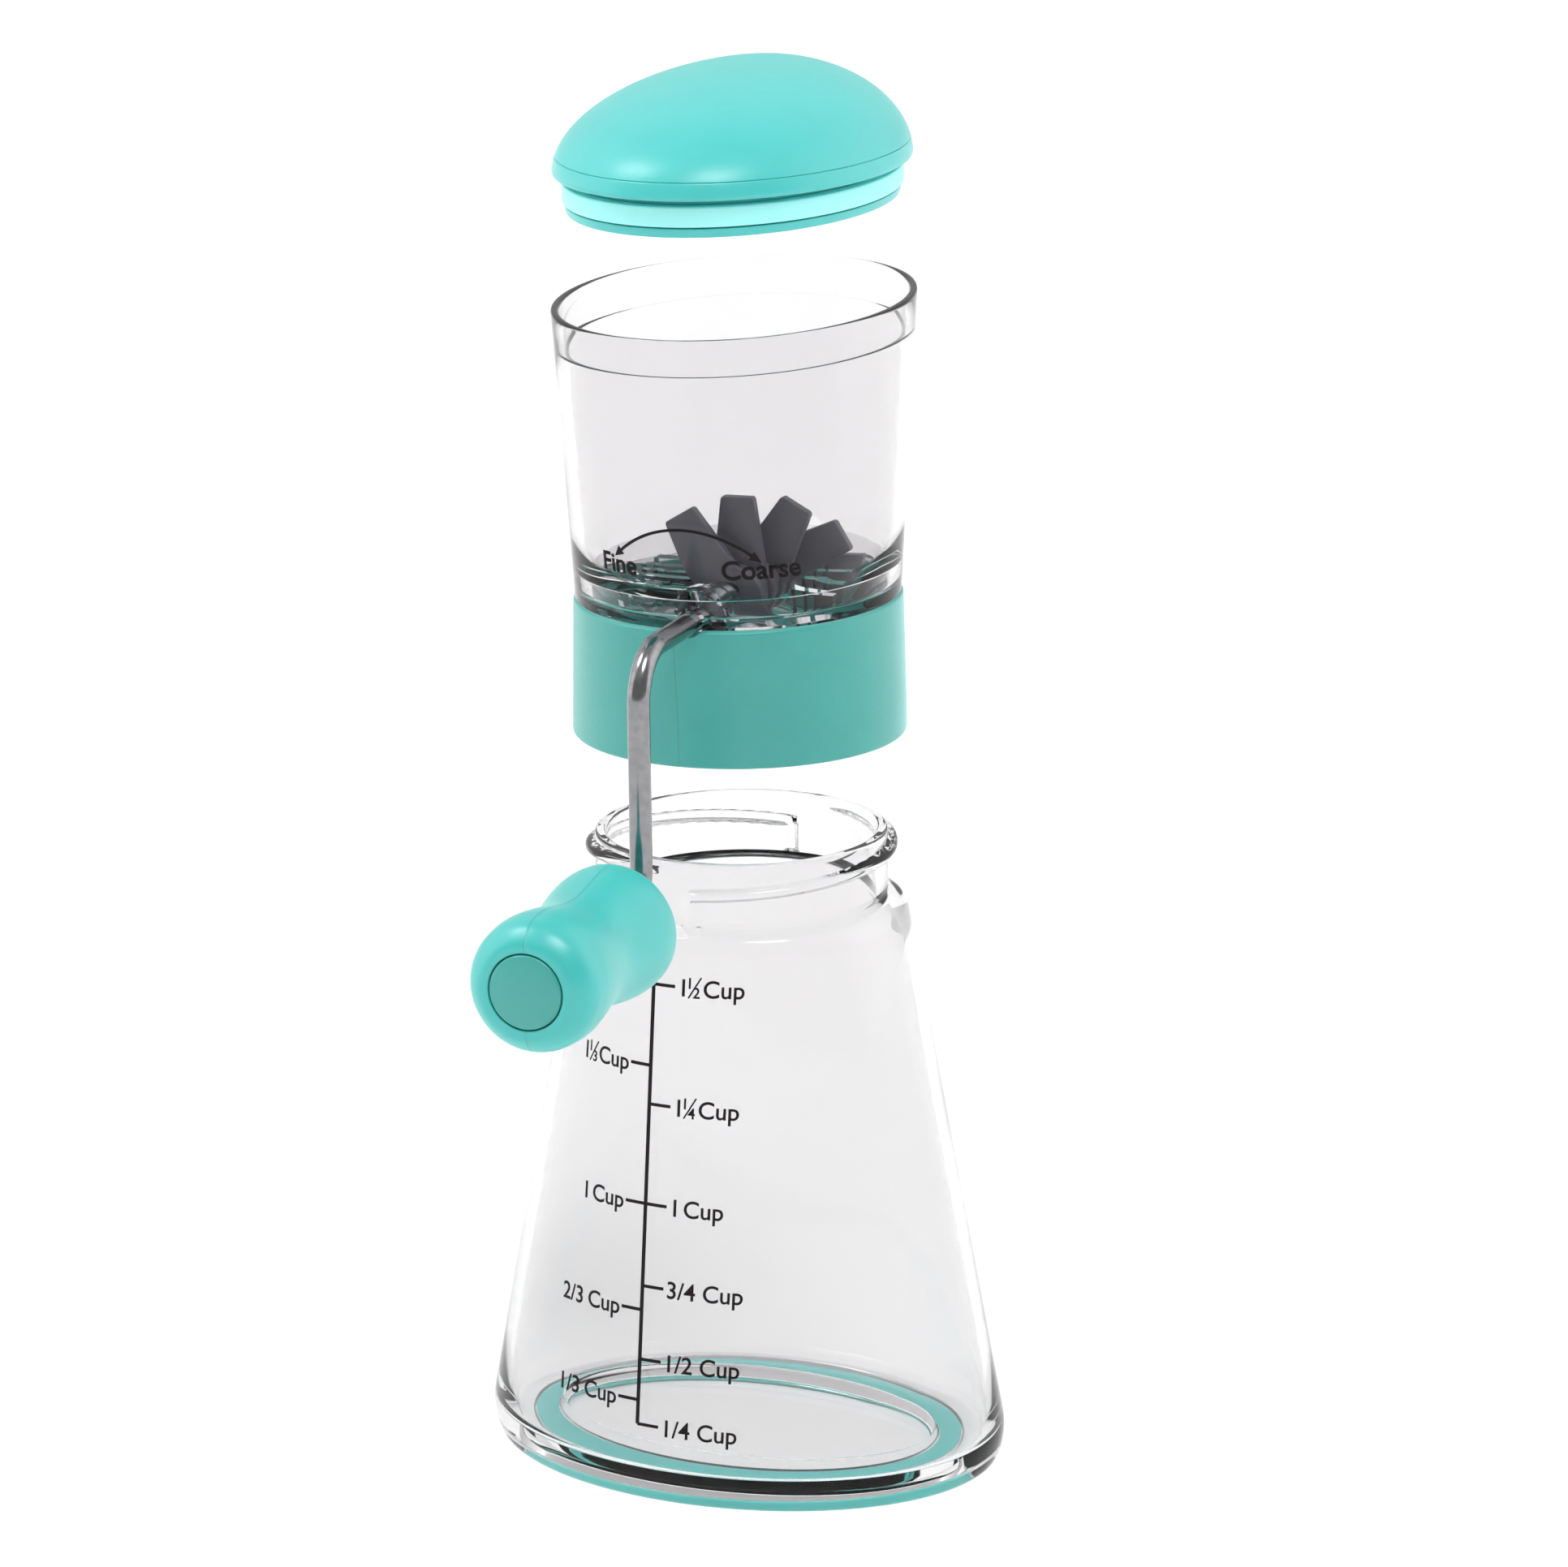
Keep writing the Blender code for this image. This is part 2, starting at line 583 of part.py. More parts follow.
def make_crank(group, shaft_axis):
    """One bent rod about the shaft's axis: shaft along Y, arm down, handle spindle along -Y."""
    drop = HANDLE_Z - SHAFT_Z
    outward, down = (0.0, -1.0, 0.0), (0.0, 0.0, -1.0)
    spindle_end = ARM_Y - HANDLE_NEAR - HANDLE_LENGTH + 7.0
    path = [(0.0, SHAFT_END_Y, 0.0)]
    path += bend((0.0, ARM_Y, 0.0), outward, down, BEND_RADIUS)
    path += bend((0.0, ARM_Y, drop), down, outward, BEND_RADIUS - 1.0)
    path.append((0.0, spindle_end, drop))
    tube_curve("crank_rod", path, ROD_RADIUS, group, "steel", shaft_axis)


def grip_profile():
    """The grip's section: outside from the far end down to the near end, then its bore."""
    length, waist = HANDLE_LENGTH, GRIP_WAIST
    outside = [(CAP_RADIUS + 0.35, length - 0.2), (CAP_RADIUS + 1.6, length - 0.3),
               (GRIP_RADIUS - 1.6, length - 1.6), (GRIP_RADIUS - 0.4, length - 4.0),
               (GRIP_RADIUS, length - 7.5)]
    span = length - 7.5 - 3.5
    for i in range(1, 9):
        part = i / 9
        dip = math.sin(math.pi * part) ** 2
        outside.append((GRIP_RADIUS - (GRIP_RADIUS - waist) * dip, length - 7.5 - span * part))
    outside += [(GRIP_RADIUS, 3.5), (GRIP_RADIUS - 0.4, 1.5), (GRIP_RADIUS - 1.4, 0.3),
                (GRIP_RADIUS - 2.6, 0.0)]
    pocket = CAP_RADIUS - 0.6
    inside = [(SHAFT_BORE, 0.0), (SHAFT_BORE, length - 9.0), (pocket, length - 9.0),
              (pocket, length - 3.0), (CAP_RADIUS + 0.35, length - 3.0)]
    return outside + inside


def make_handle(group, handle_axis):
    """Grip, cap and push nut, turned about the spindle's axis."""
    length = HANDLE_LENGTH
    grip = turned("handle_grip", grip_profile(), group, "teal", handle_axis, steps=32)
    plug = CAP_RADIUS - 0.6 - GAP
    cap = turned("handle_cap", [
        (0.0, length + 0.7), (3.4, length + 0.5), (CAP_RADIUS - 0.5, length),
        (CAP_RADIUS, length - 0.6), (CAP_RADIUS, length - 2.7), (plug, length - 2.7),
        (plug, length - 4.6), (plug - 1.6, length - 4.6), (plug - 1.6, length - 2.6),
        (0.0, length - 2.6)], group, "teal", handle_axis, steps=24)
    nut = turned("handle_retainer", ring_profile(SHAFT_BORE, 4.6, length - 8.7, length - 7.7),
                 group, "steel", handle_axis, steps=24)
    for piece in (grip, cap, nut):
        piece.rotation_euler.x = math.pi / 2
        piece.location.y = -HANDLE_NEAR * MM


def dome_level(part, inset=0.0):
    """One level of the lid's dome, from its edge (part 0) to its top (part 1)."""
    turn = part * math.pi / 2
    spread = math.cos(turn) ** 0.95
    height = LID_EDGE_Z + (LID_HEIGHT - inset) * math.sin(turn)
    back = LID_PEAK_Y * (1.0 - spread)
    return oval(height, (LID_OVAL[0] - inset) * spread, (LID_OVAL[1] - inset) * spread,
                centre=(0.0, back))


def make_lid(group, axis):
    parts = [0.0, 0.12, 0.25, 0.38, 0.5, 0.62, 0.74, 0.85, 0.94, 0.985]
    outer = [dome_level(p) for p in reversed(parts)]
    inner = [dome_level(p, LID_WALL) for p in parts[::2]]
    mesh = loft_mesh("lid_dome", outer + inner, "capped")
    new_object("lid_dome", mesh, group, "teal", axis)
    a, b = LID_OVAL[0] - 2.1, LID_OVAL[1] - 2.1
    top = LID_EDGE_Z - GAP
    plug = [oval(z, a - inset, b - inset) for z, inset in (
        (PLUG_BOTTOM_Z, 0.5), (PLUG_BOTTOM_Z + 1.2, 0.2), (SEAL_Z[0] - GAP, 0.0),
        (SEAL_Z[0] - GAP, 1.9), (SEAL_Z[1] + GAP, 1.9), (SEAL_Z[1] + GAP, 0.4), (top, 0.4),
        (top, 3.6), (PLUG_BOTTOM_Z, 3.6))]
    new_object("lid_plug", loft_mesh("lid_plug", plug, "looped"), group, "teal", axis)
    middle = sum(SEAL_Z) / 2
    seal = [oval(z, a + out, b + out) for z, out in (
        (SEAL_Z[0], -1.6), (SEAL_Z[0], 0.2), (middle - 0.9, 0.4), (middle, 0.3),
        (middle + 0.9, 0.4), (SEAL_Z[1], 0.2), (SEAL_Z[1], -1.6))]
    new_object("lid_seal", loft_mesh("lid_seal", seal, "looped"), group, "aqua", axis)


def main():
    clear_scene()
    group = new_collection("nut_chopper")
    cutters = new_collection("cutters")
    jar_axis = new_empty("jar_axis", group, (0.0, JAR_AXIS_Y, 0.0))
    hopper_axis = new_empty("hopper_axis", group, (0.0, JAR_AXIS_Y, 0.0),
                            turn_deg=HOPPER_TWIST_DEG)
    shaft_axis = new_empty("shaft_axis", group, (SHAFT_X, 0.0, SHAFT_Z), hopper_axis)
    handle_axis = new_empty("handle_axis", group, (0.0, ARM_Y, HANDLE_Z - SHAFT_Z), shaft_axis)
    lid_axis = new_empty("lid_axis", group, (0.0, 0.0, 0.0), hopper_axis)
    bpy.context.view_layer.update()
    make_jar(group, cutters, jar_axis)
    make_collar(group, cutters, hopper_axis)
    make_cup(group, cutters, hopper_axis)
    make_bushes(group, shaft_axis)
    make_combs(group, cutters, hopper_axis)
    make_paddles(group, shaft_axis)
    make_crank(group, shaft_axis)
    make_handle(group, handle_axis)
    make_lid(group, lid_axis)


main()
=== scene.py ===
import json
import math

import bmesh
import bpy
from mathutils import Matrix, Vector


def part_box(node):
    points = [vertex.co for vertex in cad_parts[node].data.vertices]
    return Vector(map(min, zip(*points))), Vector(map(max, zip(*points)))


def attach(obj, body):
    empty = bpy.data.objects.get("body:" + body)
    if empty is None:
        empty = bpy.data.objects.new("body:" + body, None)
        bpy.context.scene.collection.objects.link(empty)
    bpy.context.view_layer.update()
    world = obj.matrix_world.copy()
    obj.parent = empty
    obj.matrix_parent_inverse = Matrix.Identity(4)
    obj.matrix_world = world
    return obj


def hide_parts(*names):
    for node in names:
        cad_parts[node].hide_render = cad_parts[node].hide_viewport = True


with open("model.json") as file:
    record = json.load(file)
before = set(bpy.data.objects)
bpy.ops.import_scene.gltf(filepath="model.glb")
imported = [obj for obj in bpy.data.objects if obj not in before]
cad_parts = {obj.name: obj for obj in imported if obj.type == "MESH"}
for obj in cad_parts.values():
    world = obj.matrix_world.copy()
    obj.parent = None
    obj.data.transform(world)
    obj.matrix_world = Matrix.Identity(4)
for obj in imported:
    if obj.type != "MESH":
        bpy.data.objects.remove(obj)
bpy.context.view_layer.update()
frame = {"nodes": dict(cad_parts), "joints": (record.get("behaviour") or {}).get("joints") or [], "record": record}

MM = 0.001
AROUND = 200              # points round a moulded oval
TURN = 2.0 * math.pi

# ---------------------------------------------------------------- places, from the frame


def span(node):
    """Middle (x, y) and lowest and highest z of a CAD node, in millimetres."""
    low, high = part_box(node)
    middle = ((low[0] + high[0]) / 2 / MM, (low[1] + high[1]) / 2 / MM)
    return middle, low[2] / MM, high[2] / MM


def half_size(node):
    """Half a CAD node's size in x and y, in millimetres."""
    low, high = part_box(node)
    return (high[0] - low[0]) / 2 / MM, (high[1] - low[1]) / 2 / MM


joints = {joint["name"]: joint for joint in frame["joints"]}
spin_axis = joints["crank_spin"]["axis"]
TWIST = math.atan2(spin_axis[0], -spin_axis[1])     # the hopper's turn from the jar's front
(JAR_X, JAR_Y), JAR_LOW, LIP_Z = span("jar_body")
JAR_A, JAR_B = half_size("jar_body")
JAR_PLACE = Matrix.Translation((JAR_X * MM, JAR_Y * MM, 0.0))
HOPPER_PLACE = JAR_PLACE @ Matrix.Rotation(TWIST, 4, "Z")


def local(point):
    """A record point in the hopper's own frame, in millimetres."""
    return (HOPPER_PLACE.inverted() @ Vector(point)) / MM


SHAFT = local(joints["crank_spin"]["pos_m"])
HANDLE = local(joints["handle_spin"]["pos_m"])
SHAFT_PLACE = HOPPER_PLACE @ Matrix.Translation(SHAFT * MM)
HANDLE_PLACE = HOPPER_PLACE @ Matrix.Translation(HANDLE * MM)

# ---------------------------------------------------------------- materials


def node(tree, kind, **values):
    made = tree.nodes.new(kind)
    for key, value in values.items():
        if key in made.inputs:
            made.inputs[key].default_value = value
        else:
            setattr(made, key, value)
    return made


def grey(level):
    return level, level, level


def new_material(name):
    made = bpy.data.materials.new(name)
    made.use_nodes = True
    tree = made.node_tree
    return made, tree, tree.nodes["Principled BSDF"]


def ramp(tree, factor, stops):
    """A colour ramp from (position, colour) stops."""
    made = tree.nodes.new("ShaderNodeValToRGB")
    elements = made.color_ramp.elements
    while len(elements) < len(stops):
        elements.new(0.5)
    for element, (position, colour) in zip(elements, stops):
        element.position = position
        element.color = (*colour, 1.0)
    tree.links.new(factor, made.inputs["Fac"])
    return made.outputs["Color"]


def object_coordinates(tree):
    return node(tree, "ShaderNodeTexCoord").outputs["Object"]


def noise(tree, where, scale, detail=2.0, roughness=0.5):
    made = node(tree, "ShaderNodeTexNoise", Scale=scale, Detail=detail, Roughness=roughness)
    tree.links.new(where, made.inputs["Vector"])
    return made.outputs["Fac"]


def map_range(tree, value, low, high, source=(0.0, 1.0)):
    """A value carried from its source range to low and high."""
    made = node(tree, "ShaderNodeMapRange")
    tree.links.new(value, made.inputs["Value"])
    made.inputs["From Min"].default_value, made.inputs["From Max"].default_value = source
    made.inputs["To Min"].default_value = low
    made.inputs["To Max"].default_value = high
    return made.outputs["Result"]


def bump(tree, height, strength, distance_mm, normal=None):
    made = node(tree, "ShaderNodeBump", Strength=strength, Distance=distance_mm * MM)
    tree.links.new(height, made.inputs["Height"])
    if normal:
        tree.links.new(normal, made.inputs["Normal"])
    return made.outputs["Normal"]


def seam_line(tree, where, half_width_mm):
    """1 away from the mould's parting plane x = 0, falling to 0 on it."""
    across = node(tree, "ShaderNodeSeparateXYZ")
    tree.links.new(where, across.inputs[0])
    size = node(tree, "ShaderNodeMath", operation="ABSOLUTE")
    tree.links.new(across.outputs["X"], size.inputs[0])
    return map_range(tree, size.outputs[0], 0.0, 1.0, (0.0, half_width_mm * MM))


def moulded(name, colour, shade, roughness, grain_mm, grain_depth, seam=False, bloom=0.0,
            gloss=0.8):
    """Opaque moulded plastic: a grained skin, slow colour drift and perhaps a parting line."""
    made, tree, shader = new_material(name)
    where = object_coordinates(tree)
    drift = noise(tree, where, 1.0 / (9.0 * MM), 3.0)
    tree.links.new(ramp(tree, drift, [(0.3, shade), (0.7, colour)]), shader.inputs["Base Color"])
    grain = noise(tree, where, 1.0 / (grain_mm * MM), 2.5, 0.6)
    tree.links.new(map_range(tree, grain, roughness - 0.07, roughness + 0.07),
                   shader.inputs["Roughness"])
    surface = bump(tree, grain, 0.6, grain_depth)
    if seam:
        surface = bump(tree, seam_line(tree, where, 0.22), 0.8, 0.16, surface)
    tree.links.new(surface, shader.inputs["Normal"])
    shader.inputs["IOR"].default_value = 1.46
    shader.inputs["Specular IOR Level"].default_value = gloss
    shader.inputs["Sheen Weight"].default_value = bloom
    shader.inputs["Sheen Roughness"].default_value = 0.3
    shader.inputs["Sheen Tint"].default_value = (0.62, 1.0, 0.96, 1.0)
    return made


def lets_light_through(tree, shader, tint):
    """Lamps and bounced light pass straight through the plastic, so what is inside is lit."""
    path = node(tree, "ShaderNodeLightPath")
    open_side = node(tree, "ShaderNodeBsdfTransparent")
    open_side.inputs["Color"].default_value = (*tint, 1.0)
    surface = shader.outputs["BSDF"]
    for ray in ("Is Shadow Ray", "Is Diffuse Ray"):
        mix = node(tree, "ShaderNodeMixShader")
        tree.links.new(path.outputs[ray], mix.inputs[0])
        tree.links.new(surface, mix.inputs[1])
        tree.links.new(open_side.outputs[0], mix.inputs[2])
        surface = mix.outputs[0]
    tree.links.new(surface, tree.nodes["Material Output"].inputs["Surface"])


def clear_plastic(name, tint, ior, roughness=0.02):
    """Clear moulded plastic with the faint waviness of a moulded wall."""
    made, tree, shader = new_material(name)
    where = object_coordinates(tree)
    flow = noise(tree, where, 1.0 / (26.0 * MM), 1.0)
    paler = [min(1.0, c * 1.012) for c in tint]
    tree.links.new(ramp(tree, flow, [(0.2, tint), (0.8, paler)]), shader.inputs["Base Color"])
    tree.links.new(bump(tree, flow, 0.25, 0.25), shader.inputs["Normal"])
    haze = noise(tree, where, 1.0 / (3.0 * MM), 2.0)
    tree.links.new(map_range(tree, haze, roughness * 0.5, roughness * 1.5),
                   shader.inputs["Roughness"])
    shader.inputs["Transmission Weight"].default_value = 1.0
    shader.inputs["IOR"].default_value = ior
    lets_light_through(tree, shader, grey(0.985))
    return made


def polished_steel(name):
    made, tree, shader = new_material(name)
    where = object_coordinates(tree)
    fine = noise(tree, where, 1.0 / (1.4 * MM), 3.0)
    tree.links.new(ramp(tree, fine, [(0.3, (0.24, 0.24, 0.25)), (0.7, (0.30, 0.30, 0.305))]),
                   shader.inputs["Base Color"])
    tree.links.new(map_range(tree, fine, 0.13, 0.21), shader.inputs["Roughness"])
    tree.links.new(bump(tree, fine, 0.1, 0.006), shader.inputs["Normal"])
    shader.inputs["Metallic"].default_value = 1.0
    return made


TEAL_LID = moulded("teal_lid", (0.066, 0.580, 0.555), (0.060, 0.560, 0.535), 0.35, 0.9, 0.05,
                   bloom=0.35)
TEAL_RING = moulded("teal_ring", (0.040, 0.375, 0.335), (0.035, 0.355, 0.315), 0.40, 0.34, 0.12,
                    seam=True, bloom=1.0)
TEAL_GRIP = moulded("teal_grip", (0.052, 0.520, 0.490), (0.047, 0.500, 0.470), 0.33, 0.5, 0.01,
                    seam=True, bloom=0.35)
TEAL_CAP = moulded("teal_cap", (0.045, 0.380, 0.340), (0.040, 0.360, 0.320), 0.36, 0.5, 0.01,
                   bloom=0.35)
TEAL_SOFT = moulded("teal_soft", (0.100, 0.600, 0.560), (0.090, 0.575, 0.535), 0.55, 0.4, 0.02)
AQUA_SEAL = moulded("aqua_seal", (0.38, 1.00, 0.98), (0.36, 0.99, 0.97), 0.45, 0.5, 0.015)
GREY_SEAL = moulded("grey_seal", (0.50, 0.52, 0.53), (0.46, 0.48, 0.49), 0.60, 0.6, 0.02)
SLATE = moulded("slate_plastic", (0.080, 0.075, 0.096), (0.055, 0.052, 0.068), 0.38, 0.6, 0.02)
CLEAR = clear_plastic("clear_plastic", (0.822, 0.815, 0.822), 1.31)
CLEAR_CUP = clear_plastic("clear_cup", (0.798, 0.790, 0.798), 1.24)
CLEAR_BLOCK = clear_plastic("clear_block", (0.93, 0.925, 0.935), 1.14, 0.06)
STEEL = polished_steel("polished_steel")
INK = moulded("print_ink", (0.014, 0.010, 0.011), (0.010, 0.007, 0.008), 0.6, 0.3, 0.004,
               gloss=0.15)

# ---------------------------------------------------------------- mesh tools

CORNER_SHARE = 0.49       # the most of an edge that the rounding of one corner takes
SHARP_EDGE = 50.0         # degrees between faces, from which an edge stays hard


def corner_arc(here, before, after, radius, steps):
    """Points that round the corner here, between the corners before and after it."""
    back, on = before - here, after - here
    start = here + back.normalized() * min(radius, back.length * CORNER_SHARE)
    end = here + on.normalized() * min(radius, on.length * CORNER_SHARE)
    return [start * (1 - t) ** 2 + here * 2 * t * (1 - t) + end * t ** 2
            for t in (k / steps for k in range(steps + 1))]


def finished(mesh, weld_mm=0.0, drop_slivers=False, sharp=SHARP_EDGE):
    """The mesh welded if asked, facing outwards and shaded smooth up to its hard edges."""
    bm = bmesh.new()
    bm.from_mesh(mesh)
    if weld_mm:
        bmesh.ops.remove_doubles(bm, verts=bm.verts, dist=weld_mm * MM)
    if drop_slivers:
        bmesh.ops.dissolve_degenerate(bm, edges=bm.edges, dist=weld_mm * MM)
    bmesh.ops.recalc_face_normals(bm, faces=bm.faces)
    bm.to_mesh(mesh)
    bm.free()
    mesh.shade_smooth()
    mesh.set_sharp_from_angle(angle=math.radians(sharp))
    return mesh


def mesh_from_curve(name, curve):
    """The mesh that Blender makes of a curve or of text."""
    holder = bpy.data.objects.new(name, curve)
    bpy.context.scene.collection.objects.link(holder)
    bpy.context.view_layer.update()
    mesh = bpy.data.meshes.new_from_object(
        holder.evaluated_get(bpy.context.evaluated_depsgraph_get()))
    bpy.data.objects.remove(holder, do_unlink=True)
    return mesh


def rounded(nodes, steps=5):
    """Levels (z, half_x, half_y) from corners (z, half_x, half_y, rounding), corners rounded."""
    levels = []
    count = len(nodes)
    for i, (z, a, b, radius) in enumerate(nodes):
        here = Vector((z, a, b))
        if radius == 0.0 or i in (0, count - 1):
            levels.append(here)
            continue
        levels += corner_arc(here, Vector(nodes[i - 1][:3]), Vector(nodes[i + 1][:3]), radius,
                             steps)
    return levels


def oval_ring(level, centre=(0.0, 0.0), squareness=2.0, swell=None):
    """An oval of points at a level (z, half_x, half_y), squarer above a squareness of 2."""
    z, half_x, half_y = level
    power = 2.0 / squareness
    ring = []
    for i in range(AROUND):
        turn = TURN * i / AROUND
        c, s = math.cos(turn), math.sin(turn)
        grow = swell(turn, z) if swell else 0.0
        x = centre[0] + (half_x + grow) * math.copysign(abs(c) ** power, c)
        y = centre[1] + (half_y + grow) * math.copysign(abs(s) ** power, s)
        ring.append((x * MM, y * MM, z * MM))
    return ring


def skin(name, rings, ends):
    """Join equal rings. ends is capped, looped (the last ring meets the first) or open."""
    count = len(rings[0])
    verts = [point for ring in rings for point in ring]
    faces = []
    rows = len(rings) if ends == "looped" else len(rings) - 1
    for r in range(rows):
        low, high = r * count, (r + 1) % len(rings) * count
        for i in range(count):
            j = (i + 1) % count
            faces.append((low + i, low + j, high + j, high + i))
    if ends == "capped":
        faces.append(tuple(reversed(range(count))))
        top = (len(rings) - 1) * count
        faces.append(tuple(range(top, top + count)))
    mesh = bpy.data.meshes.new(name)
    mesh.from_pydata(verts, [], faces)
    return finished(mesh)


def piece(name, data, finish, body, place, *replaced):
    """Put a piece in the scene at its place, on its body, standing for the CAD nodes named."""
    obj = bpy.data.objects.new(name, data)
    bpy.context.scene.collection.objects.link(obj)
    obj.matrix_world = place
    data.materials.append(finish)
    bpy.context.view_layer.update()
    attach(obj, body)
    if replaced:
        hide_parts(*replaced)
    return obj


def turned_mesh(name, profile, steps=96):
    """A closed profile (radius, z) turned about Z."""
    count = len(profile)
    verts, faces = [], []
    for i in range(steps):
        turn = TURN * i / steps
        verts += [(r * math.cos(turn) * MM, r * math.sin(turn) * MM, z * MM) for r, z in profile]
    for i in range(steps):
        here, there = i * count, (i + 1) % steps * count
        for k in range(count):
            n = (k + 1) % count
            faces.append((here + k, here + n, there + n, there + k))
    mesh = bpy.data.meshes.new(name)
    mesh.from_pydata(verts, [], faces)
    return finished(mesh, weld_mm=0.001, drop_slivers=True)


def round_profile(corners, steps=5):
    """A closed (radius, z) outline from corners (radius, z, rounding)."""
    points = []
    count = len(corners)
    for i, (r, z, radius) in enumerate(corners):
        here = Vector((r, z))
        if radius == 0.0:
            points.append(here)
            continue
        points += corner_arc(here, Vector(corners[i - 1][:2]),
                             Vector(corners[(i + 1) % count][:2]), radius, steps)
    return [tuple(p) for p in points]


def cut(obj, radius, low, high, centre_x, centre_z):
    """Drill obj with a round hole along Y between low and high, all in millimetres."""
    bm = bmesh.new()
    bmesh.ops.create_cone(bm, cap_ends=True, segments=64, radius1=radius * MM,
                          radius2=radius * MM, depth=(high - low) * MM)
    bm.transform(Matrix.Translation(Vector((centre_x, (low + high) / 2, centre_z)) * MM)
                 @ Matrix.Rotation(math.pi / 2, 4, "X"))
    mesh = bpy.data.meshes.new("drill")
    bm.to_mesh(mesh)
    bm.free()
    drill = bpy.data.objects.new("drill", mesh)
    bpy.context.scene.collection.objects.link(drill)
    drill.matrix_world = obj.matrix_world.copy()
    modifier = obj.modifiers.new("drill", "BOOLEAN")
    modifier.operation = "DIFFERENCE"
    modifier.object = drill
    modifier.solver = "EXACT"
    bpy.context.view_layer.update()
    evaluated = obj.evaluated_get(bpy.context.evaluated_depsgraph_get())
    done = bpy.data.meshes.new_from_object(evaluated)
    obj.modifiers.clear()
    old = obj.data
    obj.data = done
    bpy.data.meshes.remove(old)
    bpy.data.objects.remove(drill, do_unlink=True)
    done.set_sharp_from_angle(angle=math.radians(SHARP_EDGE))


# ---------------------------------------------------------------- jar

WALL = 2.2
WIDEST_Z = 7.0
SHOULDER_Z, SHOULDER_TOP = 103.0, 106.5
SHOULDER_A, SHOULDER_B = 30.7, 30.2
NECK = 26.7
BORE = NECK - WALL
LEAD = TURN / frame["record"]["behaviour"]["couplings"][0]["ratio"] / MM
BEAD_START, BEAD_Z, BEAD_SWEEP = math.radians(-85.0), 112.9, math.radians(165.0)
BEAD_HEIGHT, BEAD_HALF = 1.8, 1.15
FLOOR_A, FLOOR_B, FLOOR_Z = 36.2, 21.9, 5.7
PANEL_LOW, PANEL_Z, GROOVE_Z = 1.1, 3.3, 1.9
PAD_A, PAD_B = half_size("non_slip_ring")
_, _, PAD_TOP = span("non_slip_ring")
PAD_HOLE_A, PAD_HOLE_B = 38.0, 25.4


def wall_half(z):
    """Half-length and half-width of the jar's outside at a height."""
    part = (z - WIDEST_Z) / (SHOULDER_Z - WIDEST_Z)
    return JAR_A + (SHOULDER_A - JAR_A) * part, JAR_B + (SHOULDER_B - JAR_B) * part


def smoothstep(x):
    x = max(0.0, min(1.0, x))
    return x * x * (3.0 - 2.0 * x)


def thread_swell(turn, z):
    """Height of the two thread beads and their stop lugs above the neck's wall."""
    best = 0.0
    for start in (BEAD_START, BEAD_START + math.pi):
        along = (turn - start) % TURN
        if along > TURN - 0.2:
            along -= TURN
        ends = smoothstep((along + 0.06) / 0.10) * smoothstep((BEAD_SWEEP + 0.05 - along) / 0.25)
        off = abs(z - (BEAD_Z + LEAD * along / TURN)) / BEAD_HALF
        if off < 1.0:
            best = max(best, BEAD_HEIGHT * ends * (1.0 - off ** 2.6) ** 0.5)
        lug = smoothstep((0.055 - abs(along - 0.02)) / 0.02)
        best = max(best, (BEAD_HEIGHT - 0.3) * lug * smoothstep((BEAD_Z - z) / 0.6)
                   * smoothstep((z - SHOULDER_TOP) / 0.8))
    return best


